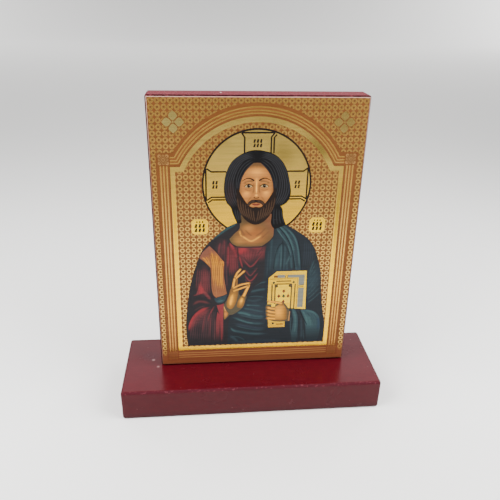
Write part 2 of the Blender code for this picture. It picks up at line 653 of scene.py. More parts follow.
# The columns' gold lines are painted darker towards the foot, as painted reflection of the red base.
for side in (-1, 1):
    middle = AXIS + side * 31.9
    area(box(middle - 1.5, 6.2, middle + 1.5, 81.3), BROWN, THIN_INK)
    for line_place in (30.85, 31.9, 32.95):
        line_u = AXIS + side * line_place
        area(
            band([(line_u, v) for v in np.linspace(6.2, 81.3, 13)], 0.48),
            LINE_GOLD, LINE_INK, shades=line_reflection_shades,
        )
    rosette((middle, 83.5), "967040", "5C3A1C")
    rosette((middle, 4.05), "7E4E2C", "6E4027")
area(box(AXIS - 29.75, 2.7, AXIS + 29.75, 5.6), FOOT_BROWN, THIN_INK)
for line_v in (5.15, 4.15, 3.15):
    area(box(AXIS - 29.75, line_v - 0.2, AXIS + 29.75, line_v + 0.2), "8C5E34", THIN_INK)

# Four-petalled flowers in the upper corners: how far along its axis and how wide each petal is.
PETAL = ((0.75, 0.45), (1.3, 1.05), (2, 1.45), (2.7, 1.15), (3.2, 0.6))
PETAL_START = 0.4
PETAL_TIP = 3.7
for flower_centre, petal_gold in (((-28.3, 95.95), "E8CF78"), ((28.5, 95.9), "D9B866")):
    for growth, petal_colour in ((0.3, RUST), (0, petal_gold)):
        for quarter in range(4):
            turn = math.radians(90 * quarter)
            way = Vector((math.cos(turn), math.sin(turn)))
            across = Vector((-way.y, way.x))
            heart = Vector(flower_centre)
            start = heart + way * (PETAL_START - growth)
            tip = heart + way * (PETAL_TIP + growth)
            left = [heart + way * along + across * (half + growth) for along, half in PETAL]
            right = [heart + way * along - across * (half + growth) for along, half in reversed(PETAL)]
            area(
                curve([start, start] + left + [tip, tip] + right, steps=3),
                petal_colour, THIN_INK if growth else FOIL,
            )
    area(disc(flower_centre, 0.3, 8), petal_gold)

# Printed sheet: halo and small plates.
# A gold disc with a dark rim and the three arms of a cross. Rows of short strokes fill its three
# fields and the two plates.
HALO_CENTRE = (-0.35, 74.6)
LINE_BLACK = "120A06"
ARM_WIDTH = 0.56
PLATE_GOLD = "F8C51A"

paint(disc(HALO_CENTRE, 19.05, 96), LINE_BLACK)
# The halo's gold carries the painted reflections.
area(disc(HALO_CENTRE, 18.4, 96), GOLD, shades=gold_reflection_shades)
double_lines = (
    ((4.6, 85.6), (4.6, 91), (5.6, 92.2)),
    ((-11.4, 69.7), (-16, 69.7), (-17.6, 68.6)),
    ((11, 69.75), (15.4, 69.75), (17, 68.8)),
)
# The gold inside the double lines carries the painted reflections.
for path in double_lines:
    paint(band(path, 1.5), LINE_BLACK)
    area(band(path, 0.44), GOLD, shades=gold_reflection_shades)
single_lines = (
    ((-4.85, 85.6), (-4.85, 90.9), (-5.9, 92.5)),
    ((-5.7, 92.5), (5.2, 92.5)),
    ((-11, 79.25), (-16.1, 79.25), (-17.7, 80.4)),
    ((-17.95, 80.4), (-17.95, 69)),
    ((10, 79.3), (15.6, 79.3), (17.2, 80.4)),
    ((17.2, 80.4), (17.2, 69)),
)
for path in single_lines:
    paint(band(path, ARM_WIDTH), LINE_BLACK)


def stroke_rows(centre, rows, columns, pitch_u, pitch_v, length, width):
    """Rows of short, slightly slanting strokes about a middle."""
    for row in range(rows):
        row_v = centre[1] + (row - (rows - 1) / 2) * pitch_v
        for column in range(columns):
            stroke_u = centre[0] + (column - (columns - 1) / 2) * pitch_u
            foot = (stroke_u - 0.12 * length, row_v - 0.5 * length)
            head = (stroke_u + 0.12 * length, row_v + 0.5 * length)
            paint(band((foot, head), width, 0.75 * width), LINE_BLACK)


stroke_rows((-0.4, 89), 2, 3, 1.1, 1.5, 1.25, 0.72)
stroke_rows((-14.85, 74.7), 2, 2, 1.1, 1.5, 1.25, 0.72)
stroke_rows((13.75, 74.6), 2, 2, 1.1, 1.5, 1.25, 0.72)
for plate_left, plate_right in ((-23.3, -17.45), (19, 24.75)):
    plate = [(plate_left, 57.2), (plate_left + 0.9, 56.3), (plate_right - 0.9, 56.3),
             (plate_right, 57.2), (plate_right, 61.2), (plate_right - 0.9, 62.1),
             (plate_left + 0.9, 62.1), (plate_left, 61.2)]
    area(cornered(plate), PLATE_GOLD)
    plate_middle = (plate_left + plate_right) / 2
    stroke_rows((plate_middle, 58.75), 2, 3, 1.35, 1.65, 1.4, 0.85)
    stroke_rows((plate_middle, 61.05), 1, 3, 1, 1, 0.5, 0.55)

# Printed sheet: robe and mantle.
# A half figure in a dark red tunic with an orange shoulder stripe, and a blue-green mantle. The
# folds are soft brush strokes, and the creases between them are thin dark ones.
CLOTH_BLACK = "1C1A1C"
CLOTH_BROWN = "261F21"
RED = "752529"
RED_MID = "572628"
RED_DEEP = "3C2426"
RED_DIM = "4A2526"
RED_WARM = "652528"

# The figure's right side, from the foot up to the neck, which the mantle follows too.
right_side = [
    (27.75, 8.45), (27.75, 8.45), (28, 13), (27.8, 17.9), (26.7, 23.4), (25.6, 31),
    (24.7, 40), (23.2, 45.6), (21.8, 49.6), (19.8, 52.9), (17.3, 55.2), (13.9, 57.5),
    (10.4, 59.6), (7, 61.6), (7, 61.6),
]
body_outline = curve([
    (-7, 60.6), (-7, 60.6), (-10.5, 59), (-13.6, 56.5), (-16.8, 53.5), (-19.4, 50.4), (-21.1, 46.8),
    (-22.9, 41.4), (-24.7, 34.4), (-25.9, 26), (-26.55, 19), (-26.5, 12.8), (-26.05, 8.45),
    (-26.05, 8.45),
] + right_side)
tunic_shades = [
    # The shoulder and the breast.
    glow((-12.4, 50.5), 3.4, 5, RED_DEEP, 0.7),
    glow((-8.6, 46), 3, 7.6, RED_MID, 0.9),
    glow((-3.2, 47.8), 5, 4.6, RED_MID),
    *pleats([(-13.6, 52.6), (-13.9, 49.8), (-13.9, 47.6)], [(-10.9, 54.6), (-11, 48), (-11, 36)], 6, 0.2,
            RED_DIM, 0.8),
    *pleats([(-9.8, 53), (-9.4, 47), (-9.9, 38)], [(-7.6, 50.4), (-7, 45.6), (-6.6, 41)], 5, 0.2, RED,
            0.5),
    glow((1.4, 48.8), 3.6, 4.4, RED_MID, 0.9),
    glow((-5.2, 49.8), 3.2, 2.3, RED),
    glow((-5.9, 49), 1.5, 1.6, RED, 0.9),
    glow((0, 50.6), 3.2, 1, RED, 0.5),
    fold([(-9.7, 53.2), (-8.9, 51.2), (-8.3, 49.4)], 0.95, RED, 1, 0.3),
    fold([(-8.4, 50.4), (-7.7, 48.6), (-7.3, 46.4)], 0.75, RED, 0.8),
    fold([(-10.3, 52), (-10.3, 48), (-10.6, 42.5)], 0.6, RED_WARM, 0.85),
    fold([(-11.6, 54.4), (-11.9, 51), (-12.2, 47.2)], 0.5, RED_MID, 0.9),
    fold([(-13.1, 53.2), (-13.6, 50.6), (-13.8, 48.6)], 0.4, RED_MID, 0.7),
    fold([(-11, 46), (-10.9, 40), (-10.7, 33.6)], 0.4, RED_DEEP, 0.9),
    *pleats([(-12.5, 54.6), (-12.9, 51.4), (-13, 48)], [(-10.8, 54.4), (-11.2, 48), (-11.35, 40)], 3,
            0.26, CLOTH_BLACK, 0.75),
    *pleats([(-9.9, 53.4), (-9.6, 48), (-9.9, 41)], [(-7.2, 50.2), (-6.6, 46), (-5.7, 42.4)], 7, 0.2,
            CLOTH_BLACK, 0.75),
    fold([(-6.95, 51), (-6.5, 47.4), (-5.3, 42.6)], 0.42, CLOTH_BLACK, 1, 0.1),
    fold([(-6.3, 47.6), (-5.7, 45.2), (-4.9, 42.4)], 0.42, RED, 0.75),
    # The folds that hang as bows over the breast.
    fold([(-5.4, 47.6), (-3.6, 45.2), (-1.9, 43.6), (-0.2, 45.4), (1.4, 48.4)], 0.5, CLOTH_BROWN, 0.8),
    fold([(-5.2, 46.8), (-3.4, 44.2), (-1.9, 42.9), (0, 44.8), (2.2, 48.6)], 0.42, RED_WARM, 0.85),
    fold([(0.2, 48), (1.4, 49.2), (2.7, 51)], 0.4, CLOTH_BROWN, 0.8),
    fold([(-4.8, 43.6), (-3.2, 41.2), (-1.9, 40.2), (-0.4, 41.6), (1, 44.2)], 0.55, CLOTH_BROWN, 0.9),
    fold([(-4.4, 42.4), (-3.2, 40.4), (-1.95, 39.2), (-0.5, 40.8), (1, 42.8)], 0.36, RED_MID, 0.85),
    fold([(-4.4, 40), (-3.2, 38), (-1.95, 36.9), (-0.4, 38.4), (1.2, 41)], 0.45, RED_WARM, 0.8),
    fold([(-4, 38), (-2.6, 35.8), (-0.6, 36.6)], 0.4, RED_DEEP, 0.8),
    *pleats([(-4.6, 50.2), (-4.4, 47), (-2.6, 43.6)], [(2.6, 50.4), (1.4, 47.4), (-1.2, 43.6)], 7, 0.2,
            CLOTH_BLACK, 0.6),
    # The upper sleeve, with one fold that catches the light.
    glow((-19, 38), 2.6, 7, RED_MID, 0.8),
    glow((-19.6, 34.4), 3.2, 4.6, RED_MID, 0.9),
    fold([(-23.6, 31.1), (-21.6, 31.8), (-19.8, 32.3)], 0.45, RED_MID, 0.9),
    fold([(-19.4, 33), (-18.3, 31.2), (-16.9, 29.2)], 0.9, RED_MID, 0.95),
    *pleats([(-21.4, 43), (-21.9, 39), (-22.4, 34)], [(-17.2, 42), (-17.5, 37), (-17, 31.6)], 7, 0.24,
            "5C2A2B", 0.7),
    *pleats([(-20.9, 44), (-21.2, 40), (-21.4, 35)], [(-17.6, 41), (-17.9, 36), (-17.4, 31.2)], 6, 0.18,
            CLOTH_BLACK, 0.7),
    fold([(-24.6, 30.6), (-21.6, 31), (-19.9, 31.2), (-18.4, 29.9)], 0.55, CLOTH_BLACK, 0.95),
    fold([(-24, 27), (-21.8, 28.5), (-19.6, 28.4), (-17, 27.5)], 0.85, RED_DIM, 0.95),
    fold([(-23.6, 24.4), (-21.2, 26), (-18.8, 26.6)], 0.35, RED_DEEP, 0.8),
]
paint(body_outline, CLOTH_BLACK, *tunic_shades)
paint(
    curve([(-20.5, 37.6), (-20.5, 37.6), (-19.8, 34.6), (-18.5, 32.2), (-18.5, 32.2), (-20.2, 32.1),
           (-22.5, 31.3), (-22.5, 31.3), (-21.6, 34)]),
    RED_MID,
    glow((-20.4, 33.8), 1.5, 3.2, "7C2629"),
    *pleats([(-20.5, 36.6), (-20.9, 34), (-21.9, 31.6)], [(-20.4, 36.6), (-19.6, 34), (-18.8, 32.4)], 4,
            0.13, RED_DEEP, 0.5),
)

# The wide sleeve, whose rim is lit from the left.
sleeve_rim = [(-25.9, 14), (-25.7, 17.2), (-25, 19.9), (-23.5, 22.7), (-21.3, 24.9), (-19, 26.2),
              (-16.4, 26.8)]
paint(
    curve([(-16.4, 26.8), (-16.4, 26.8), (-15.2, 26.5), (-13.4, 26.6), (-11.85, 27.5), (-11.85, 27.5),
           (-12, 18), (-11.9, 8.45), (-11.9, 8.45), (-26, 8.45), (-26, 8.45),
           (-26.2, 11.5)] + sleeve_rim[:-1]),
    CLOTH_BLACK,
    glow((-19.6, 20.4), 5.2, 6.2, "382326", 0.9, 30),
    fold([(-24.9, 15), (-24.5, 17.6), (-23.4, 19.8), (-21.4, 22.2), (-19, 24), (-17, 25.2)], 2.2, RED_MID,
         1, 0.3),
    fold([(-25.6, 15.4), (-25.3, 18), (-24.3, 20.5), (-22.6, 22.9), (-20.2, 24.8), (-17.4, 26)], 1.15,
         RED, 1, 0.2),
    fold([(-15.1, 26.9), (-16.6, 24.4), (-17.8, 21.4), (-18.3, 18.5)], 0.42, RED_WARM, 1, 0.35),
    fold([(-18.4, 24.8), (-19.4, 21.5), (-20, 17), (-20.4, 13.5)], 0.42, RED_MID, 0.9, 0.4),
    fold([(-16.9, 22.6), (-17.2, 18), (-17.6, 11.5)], 0.42, RED_MID, 0.9, 0.4),
    fold([(-15.4, 21), (-15.6, 16), (-15.8, 10)], 0.5, RED_DEEP, 0.9, 0.3),
    *pleats([(-22, 23), (-24.3, 18), (-25.2, 11)], [(-15.2, 25.8), (-15.5, 18), (-15.7, 9.2)], 12, 0.26,
            "4A2A2C", 0.75),
    *pleats([(-21.2, 23), (-23.2, 18.2), (-23.9, 12)], [(-15.8, 25.6), (-16.3, 18), (-16.5, 9.2)], 11,
            0.17, CLOTH_BLACK, 0.8),
    fold([(-15.2, 26.3), (-15, 23.5), (-15.3, 20)], 0.5, CLOTH_BLACK, 0.9),
)
paint(
    curve([(-14.7, 26.7), (-14.7, 26.7), (-13.4, 26.9), (-11.9, 27.5), (-11.9, 27.5), (-12.2, 22),
           (-12.2, 15), (-12.2, 8.9), (-12.2, 8.9), (-15.2, 8.9), (-15.2, 8.9), (-15.1, 15), (-14.9, 20),
           (-14.4, 23.8), (-14.4, 23.8), (-13.6, 22.4), (-13.6, 22.4), (-14.1, 24.6)]),
    CLOTH_BLACK,
    wash((-13.5, 9.5), (-13.5, 17), RED_MID),
    wash((-13.5, 16), (-13.4, 23), "682629"),
    fold([(-13.5, 20.5), (-13.5, 15), (-13.6, 8.8)], 0.45, CLOTH_BLACK, 0.8, 0.3),
    fold([(-12.7, 20), (-12.8, 15), (-12.9, 10)], 0.4, RED_WARM, 0.8),
    fold([(-13.5, 26), (-13.3, 21), (-13.6, 16)], 0.3, "5E2326", 0.7),
)

mantle_outline = curve([
    (6, 61.6), (6, 61.6), (5.9, 57.5), (4.4, 53), (3.3, 49), (3.3, 43), (2.6, 37),
    (-0.6, 34.2), (-2.6, 30), (-4.4, 26), (-7.6, 23), (-9.8, 20.5), (-10.4, 14), (-10.6, 8.45),
    (-10.6, 8.45),
] + right_side)
TEAL = "2F4647"
TEAL_MID = "26373B"
TEAL_DEEP = "212C31"
NAVY = "191D21"
NAVY_DEEP = "12161A"
mantle_shades = [
    glow((9, 47), 7, 13, TEAL_DEEP),
    glow((21.8, 36), 4.4, 10, TEAL_DEEP, 1, -12),
    glow((0, 23), 11, 9, "20272D", 0.9),
    # The folds that fall from the shoulder to the book.
    fold([(5.6, 56.5), (5.5, 50), (5.3, 40)], 0.7, TEAL_MID, 0.6),
    fold([(4.5, 50), (4.4, 44), (4.2, 38)], 0.4, TEAL_DEEP, 0.9),
    fold([(8.9, 51), (8.3, 49), (7.9, 46), (7.7, 41)], 0.7, TEAL_MID, 0.95),
    fold([(7.4, 50.4), (7.2, 46), (7.1, 41)], 0.3, TEAL, 0.8),
    fold([(9.2, 52.8), (9.3, 47), (9.3, 41)], 0.45, TEAL, 0.65),
    fold([(10.6, 52.2), (10.7, 47), (10.5, 41)], 0.6, TEAL_MID, 0.9),
    fold([(12.8, 48.2), (12, 45.4), (11.1, 43.2)], 0.5, TEAL, 0.8),
    fold([(12.9, 47.6), (13.2, 44.5), (13.6, 41.2)], 0.7, TEAL_MID, 0.95),
    fold([(11.6, 46), (11.7, 43), (11.8, 40.9)], 0.4, TEAL_MID, 0.8),
    fold([(9.8, 52.7), (7.9, 50.4), (7, 46), (6.7, 40.8)], 0.34, NAVY_DEEP, 1, 0.1),
    fold([(9.8, 52.7), (11.6, 49.6), (12.9, 46)], 0.3, NAVY_DEEP, 0.8, 0.1),
    fold([(9.5, 53.6), (9.9, 50), (10, 45), (9.9, 40.6)], 0.34, NAVY_DEEP, 1, 0.1),
    fold([(8.5, 52.6), (8.1, 49.6), (8, 47.4)], 0.26, NAVY_DEEP, 0.6),
    *pleats([(5.1, 52), (5, 46), (4.7, 39)], [(8.8, 49), (8.7, 45), (8.5, 41)], 6, 0.16, NAVY, 0.5),
    *pleats([(10.6, 50.6), (10.8, 46), (10.7, 41)], [(12.2, 48.6), (12.3, 45), (12.9, 41)], 4, 0.16, NAVY,
            0.55),
    # The dark outer arm, and the folds that rise from behind the book.
    *pleats([(17.8, 54), (17.9, 48), (17.9, 41.5)], [(20.6, 51.4), (21.2, 47), (20.7, 42.5)], 5, 0.22,
            "212930", 0.9),
    *pleats([(20.2, 38.6), (21, 42), (22, 45.4)], [(20.2, 26.4), (22.8, 28.6), (25.4, 31.6)], 8, 0.42,
            TEAL_MID, 0.9),
    *pleats([(20.2, 36.9), (21.6, 40.6), (22.9, 43.6)], [(20.4, 25.4), (23.2, 27.2), (25.8, 29.6)], 8,
            0.18, NAVY, 0.8),
    # The folds drawn across the waist.
    fold([(-2.4, 32), (1.2, 32.9), (4.4, 33.3)], 0.8, TEAL_MID, 0.8),
    fold([(-1.4, 34.2), (1.6, 35.8), (4.4, 36.4)], 0.45, TEAL_MID, 0.9),
    fold([(-3, 30.2), (0.4, 31), (3.6, 31.2)], 0.3, NAVY_DEEP, 0.8),
    fold([(-3.4, 29), (-0.6, 28.2), (3.2, 29)], 0.7, TEAL_DEEP),
    fold([(-3.6, 26.5), (-1, 26.2), (3, 25.8)], 0.5, TEAL_MID),
    fold([(-3.4, 26.4), (-2, 26.3)], 0.3, TEAL, 0.9),
    fold([(-4.6, 24.9), (-1.6, 24.4), (3.8, 23)], 0.6, TEAL_MID, 0.9),
    fold([(-7.4, 23.2), (-4.4, 22.9), (-1, 21.7), (1.6, 21), (4.2, 20.9)], 1.2, TEAL_MID, 1, 0.2),
    fold([(-6.8, 23.2), (-4, 22.7), (-1.2, 21.4)], 0.75, TEAL, 0.95, 0.2),
    fold([(-8.9, 21.2), (-6, 20), (-2.8, 18.6), (0.6, 17.9), (4.4, 17.8)], 0.8, TEAL_MID, 1, 0.2),
    fold([(-7.4, 20.5), (-4.6, 19.3), (-2.4, 18.5), (0, 17.9)], 0.42, TEAL, 0.95, 0.2),
    fold([(-8.4, 18.4), (-4, 17), (1, 15.8), (5, 15.6)], 0.8, "222B33", 0.9),
    fold([(-9.5, 16.6), (-8, 15), (-5.4, 14.2), (-0.5, 13.2), (5.6, 13)], 0.85, TEAL_MID, 1, 0.2),
    fold([(-9.4, 16.4), (-8.4, 15), (-7, 14.4)], 0.3, TEAL, 0.7),
    fold([(-9.8, 12.6), (-8, 11.4), (-6.2, 9.2)], 1, TEAL_DEEP),
    fold([(-8.6, 13.2), (-6, 10.4), (-3, 9.4)], 0.3, NAVY_DEEP, 0.7),
    fold([(-2.6, 22.8), (1, 22), (4, 21.9)], 0.22, NAVY, 0.8),
    fold([(-5.4, 21.2), (-1.2, 19.9), (3.8, 19.4)], 0.35, NAVY_DEEP, 0.9),
    fold([(-7.6, 19.6), (-3, 17.8), (2.6, 16.9)], 0.25, NAVY_DEEP, 0.8),
    fold([(-9, 17.6), (-3, 15.4), (4, 14.6)], 0.35, NAVY_DEEP, 0.8),
    *pleats([(-6.6, 24), (-2.4, 22.6), (2, 21.8)], [(-7.2, 14), (-2.2, 12.6), (4, 12.2)], 9, 0.14, NAVY,
            0.4),
    fold([(-9, 9.6), (2, 9.6), (12, 9.6)], 0.9, "1D252B", 0.9),
    fold([(-8.2, 17.6), (-4.6, 16.2), (0.4, 15), (4.6, 14.8)], 0.4, TEAL_MID, 0.9),
    fold([(-6.4, 22), (-3.6, 21.4), (-0.6, 20.4), (3.6, 19.9)], 0.4, TEAL_MID, 0.9),
    fold([(-2.8, 30), (0.6, 30.2), (3.8, 29.6)], 0.35, TEAL_MID, 0.8),
    fold([(-9.6, 11.4), (-7.8, 12.2), (-5.2, 11.4), (-3.2, 9.6)], 0.35, TEAL_MID, 0.7),
    # The lap under the book.
    fold([(14.3, 20.6), (14.5, 15), (15.8, 9.2)], 0.3, TEAL_MID, 1, 0.1),
    fold([(16.9, 19.6), (17.1, 14), (17.4, 9.2)], 0.35, TEAL_DEEP),
    fold([(18.4, 20.4), (18.9, 15), (19, 9.2)], 0.6, TEAL_DEEP),
    fold([(19.6, 15), (19.8, 12), (20.2, 9.2)], 0.25, TEAL_MID, 0.8),
]
paint(mantle_outline, NAVY, *mantle_shades)

# The two bands of the mantle that cross the shoulder.
paint(
    curve([(6.6, 58.6), (6.6, 58.6), (8, 56.4), (9.6, 54.2), (11.2, 51.8), (12.2, 49.2), (13, 46.2),
           (13, 46.2), (13.7, 48.4), (12.9, 50.8), (11.9, 53.2), (10.4, 55.4), (8.7, 57.6)]),
    TEAL_DEEP,
    fold([(7, 58.2), (8.8, 55.6), (10.6, 53), (12, 50), (12.9, 46.8)], 0.6, TEAL, 1, 0.15),
    *pleats([(7.6, 57.8), (10.2, 54), (12.6, 49)], [(8.2, 57.8), (10.8, 54.4), (13.1, 49.6)], 2, 0.16,
            NAVY, 0.7),
)
paint(
    curve([(6.2, 60.9), (6.2, 60.9), (8.6, 60), (11.3, 58.1), (13.7, 55.6), (15.1, 52.8), (15.9, 49.6),
           (16.6, 45.6), (17.1, 40.9), (17.1, 40.9), (15, 40.9), (15, 40.9), (14.5, 44.4), (13.7, 48),
           (12.6, 51.4), (11, 54.6), (9.3, 56.9), (7.2, 59)]),
    TEAL_DEEP,
    fold([(7.4, 59.6), (9.7, 57.4), (11.8, 54.6), (13.3, 51.2), (14.2, 48)], 0.75, TEAL, 0.9, 0.15),
    fold([(13.7, 49), (14.6, 45), (15.2, 41)], 0.5, TEAL_MID, 1, 0.1),
    fold([(8.4, 59.7), (11.4, 57.4), (13.6, 54.8), (15, 51.4), (15.7, 47.6), (16.5, 41.6)], 0.5, TEAL,
         0.85, 0.12),
    *pleats([(7.6, 59.9), (11.4, 56), (13.8, 50.2), (15.4, 41)],
            [(8.6, 59.4), (12.8, 55.4), (15.2, 49.4), (16.2, 41)], 4, 0.18, NAVY, 0.6, 0.1),
    fold([(6.4, 60.8), (9.6, 58.9), (12, 57)], 0.3, NAVY, 0.7),
)

# The dark lines that part these bands.
for dark_line in (
    [(6.2, 60.4), (8.4, 58), (10.6, 55.2), (12.4, 51.8), (13.6, 48), (14.4, 44), (14.9, 40.9)],
    [(17.2, 40.9), (16.8, 45), (16.1, 49.6), (15.2, 53)],
):
    paint(band(curve(dark_line, False), 0.34, 0.3), NAVY_DEEP)

# The two folds of the mantle that lie over the lap.
paint(
    curve([(14.5, 24), (14.5, 24), (15.6, 23.8), (16.7, 21.6), (17.2, 18), (17.2, 14), (17, 10.4),
           (16.9, 8.6), (15.3, 8.6), (15, 13), (15.3, 18.4), (14.9, 21.4)]),
    TEAL_MID,
    fold([(14.9, 23.6), (16, 20.6), (16.3, 16), (16, 12.6)], 0.6, TEAL, 1, 0.2),
    wash((16, 15), (16.2, 9.6), NAVY, 0.75),
    *pleats([(15.2, 21), (15.9, 17), (15.7, 12.4)], [(16.4, 21.8), (16.9, 17), (16.6, 12.4)], 3, 0.15,
            NAVY, 0.5),
)
paint(
    curve([(18, 23.6), (18, 23.6), (21, 23.5), (23.6, 22.5), (25.3, 20.6), (26, 18), (26.3, 14),
           (25.9, 10.6), (25, 8.6), (21.8, 8.6), (20.8, 12), (20.3, 16.6), (19, 20.6)]),
    TEAL_MID,
    glow((21.6, 18.4), 2.8, 4.6, TEAL, 1, 20),
    fold([(18.6, 23.2), (20.2, 20.6), (21, 17)], 0.55, "344C4D", 0.9),
    fold([(19, 23.3), (22.6, 22.5), (24.8, 20.4)], 0.5, TEAL, 0.9),
    fold([(25, 20), (25.7, 17.4), (25.4, 13.4)], 0.9, "21303C"),
    wash((23, 17), (23.4, 10), NAVY, 0.85),
    fold([(20.2, 22.4), (22.6, 19.8), (23.8, 15.6)], 0.3, TEAL_DEEP, 0.8),
    *pleats([(19.2, 22.4), (21.4, 19), (22, 15)], [(22.8, 22.2), (24.6, 19.4), (25, 15)], 4, 0.15, NAVY,
            0.45),
)
paint(band(curve([(17.6, 23.5), (19, 20.4), (20.9, 16.6)], False), 0.75, 0.2), NAVY_DEEP)
paint(
    curve([(-7.2, 60.5), (-7.2, 60.5), (-10.5, 58.95), (-13.6, 56.45), (-16.6, 53.7), (-16.6, 53.7),
           (-14, 55.3), (-10.9, 57.6), (-8, 59.4)]),
    "203335",
)

# The orange stripe over the shoulder, and the lining that shows under it.
ORANGE = "7C4A27"
ORANGE_LIGHT = "BE7701"
ORANGE_BROWN = "623B2D"
ORANGE_GOLD = "B07012"
stripe_shades = [
    wash((-14.4, 41), (-14, 35), "74462C", 0.85),
    wash((-16.6, 46.4), (-18.2, 48.6), ORANGE_BROWN, 0.95),
    fold([(-17, 51.2), (-16.6, 48.6)], 0.7, "703F2C", 0.9),
    glow((-14.6, 45.6), 1.6, 3.6, "9A6214", 0.9),
    fold([(-16.4, 49.6), (-15.8, 46), (-15.5, 40.6)], 0.36, ORANGE_LIGHT, 0.9),
    fold([(-14.7, 48), (-14.5, 45.6), (-14.6, 43)], 0.42, ORANGE_LIGHT, 0.95),
    fold([(-13, 46.4), (-12.9, 42), (-12.9, 34)], 0.48, ORANGE_LIGHT),
    fold([(-12.6, 45.8), (-12.2, 44.6), (-12.1, 43)], 0.4, ORANGE_LIGHT, 0.9),
    fold([(-14.35, 40), (-14.3, 37.4), (-14.3, 34.6)], 0.22, ORANGE_LIGHT, 0.8),
    *pleats([(-17, 48.6), (-16.2, 45), (-15.9, 39), (-15.4, 33.4)],
            [(-13.4, 46.6), (-12.5, 42), (-12.5, 37), (-11.8, 33)], 6, 0.24, "B87C14", 0.85, 0.3),
    fold([(-19.9, 47.2), (-18.6, 46), (-17.6, 43.9)], 0.4, ORANGE_GOLD, 0.9),
    fold([(-18.6, 47.4), (-17.6, 46), (-17, 43.4)], 0.26, ORANGE_GOLD, 0.8),
    fold([(-15, 38), (-14.9, 34), (-14.6, 30.8)], 0.3, "8A5A38", 0.7),
    *pleats([(-17.4, 49.4), (-16.6, 45), (-16.3, 38), (-15.7, 31.6)],
            [(-12.9, 46.6), (-12.1, 42), (-12, 37), (-11.3, 31.6)], 7, 0.22, "54301C", 0.9, 0.1),
    *pleats([(-20, 48), (-18.9, 47.4), (-17.6, 45.2)], [(-17.6, 50.4), (-17.1, 48.4), (-16.7, 45.6)], 4,
            0.15, "59351D", 0.5),
]
paint(
    curve([(-17.1, 51.7), (-17.1, 51.7), (-15, 49.4), (-13.3, 47), (-11.8, 45.1), (-11.8, 45.1),
           (-11.9, 40), (-11.5, 36), (-10.8, 31.6), (-10.8, 31.6), (-12.4, 30.9), (-14.9, 30.1),
           (-14.9, 30.1), (-15.9, 31.4), (-16.5, 34.2), (-16.6, 40), (-16.8, 42.8), (-16.8, 42.8),
           (-18.6, 45), (-20.8, 46.9), (-20.8, 46.9), (-19.6, 49.2)]),
    ORANGE, *stripe_shades,
)
paint(
    curve([(-15.6, 29.7), (-15.6, 29.7), (-13, 30.5), (-10.7, 31.3), (-10.7, 31.3), (-11.2, 29.4),
           (-12, 28.1), (-13.7, 27.6), (-15, 28.2)]),
    TEAL_DEEP,
    glow((-13.3, 28.7), 1.9, 0.9, TEAL, 0.9, 12),
    fold([(-14.8, 29.4), (-13.4, 28.9), (-11.6, 29.9)], 0.2, NAVY_DEEP, 0.7),
)

# Printed sheet: book.
# A closed book with a gilt cover, held upright: the cover, and the page edges at its top and right.
BOOK_GOLD = "C2980E"
BOOK_LIGHT = "CBA410"
BOOK_SHADE = "40352A"
BOOK_STUD = "26302D"
GEM_RED = "5A2A22"
GEM_GREEN = "22342C"
area(
    cornered([(8, 40.65), (19.35, 40.65), (19.85, 23.8), (11.9, 24.6), (12, 15.9), (5.45, 15.9),
              (4.8, 28), (5, 37.9)]),
    BOOK_GOLD, 0.9,
    shades=[wash((12, 30), (18.4, 30), BOOK_LIGHT, 0.8), wash((9, 24), (7, 16), "A87A1A", 0.8)],
)
for strip in (box(8.4, 37.9, 11.2, 39.1), box(12.3, 37.9, 18.7, 39.1),
              box(16.5, 34.6, 18.7, 38), box(16.5, 24.8, 18.7, 33.4)):
    area(strip, "67675D", 0.1)
for clasp in (((11.3, 37.8), (11.6, 39.2)), ((12, 37.8), (12.3, 39.2)),
              ((16.4, 33.7), (18.6, 34.1)), ((16.4, 34.3), (18.6, 34.7))):
    area(band(clasp, 0.22), BOOK_SHADE, THIN_INK)
area(box(7, 38, 8.4, 38.9), "5E3A1C", 0.15)
area(cornered([(5.2, 37.5), (16.2, 37.7), (16.2, 24.2), (5, 27)]), BOOK_GOLD, 0.9)
area(band([(5.4, 37.45), (16.15, 37.6), (16.2, 24.4)], 0.26), "80601E", 0.6)
area(box(8, 27, 13.6, 34.9), BOOK_LIGHT, 0.9)
for frame_line in (box(6.15, 27, 6.65, 35.2), box(7.35, 26, 7.85, 35.2),
                   box(13.65, 24.3, 14.15, 35.2), box(15, 24.3, 15.45, 35.2),
                   box(8, 36.2, 13.6, 36.65), box(8, 35, 13.8, 35.42)):
    area(frame_line, BOOK_SHADE, THIN_INK)
for stud in ((7, 35.8), (14.6, 35.9)):
    area(disc(stud, 0.48, 12), BOOK_STUD, 0.2)
for corner_piece in ((8.1, 34.4), (13.3, 34.4)):
    area(disc(corner_piece, 0.62, 12), "40351F", 0.3)
for gem_u, gem_v, gem_colour in ((11, 32.1, GEM_RED), (9.15, 29.95, GEM_RED), (12.75, 29.95, GEM_RED),
                                 (11, 27.5, GEM_RED), (11, 29.95, GEM_GREEN)):
    area(
        [Vector((gem_u + a, gem_v + b)) for a, b in ((0, -0.85), (0.62, 0), (0, 0.85), (-0.62, 0))],
        gem_colour, 0.2,
    )
area(disc((7.3, 17.7), 0.45, 12), BOOK_STUD, 0.2)
area(box(8.6, 17, 11.6, 17.5), "6E4A22", 0.4)

# Printed sheet: hands.
# One hand holds the book, the other is raised. Each finger is a soft rounded stroke.
SKIN = "A06C24"
SKIN_LIGHT = "E0960C"
SKIN_DARK = "664520"
SKIN_RIM = "40392A"


def finger(path, width, end_width):
    """A finger: a rounded stroke with shaded sides and a light ridge."""
    line = curve(path, closed=False, steps=4)
    middle = [tuple(spot) for spot in line]
    paint(
        rounded_band(line, width, end_width),
        SKIN_DARK,
        fold(middle, 0.6 * width, SKIN, 1, 0.05),
        fold(middle, 0.38 * width, SKIN_LIGHT, 0.8, 0.1),
    )


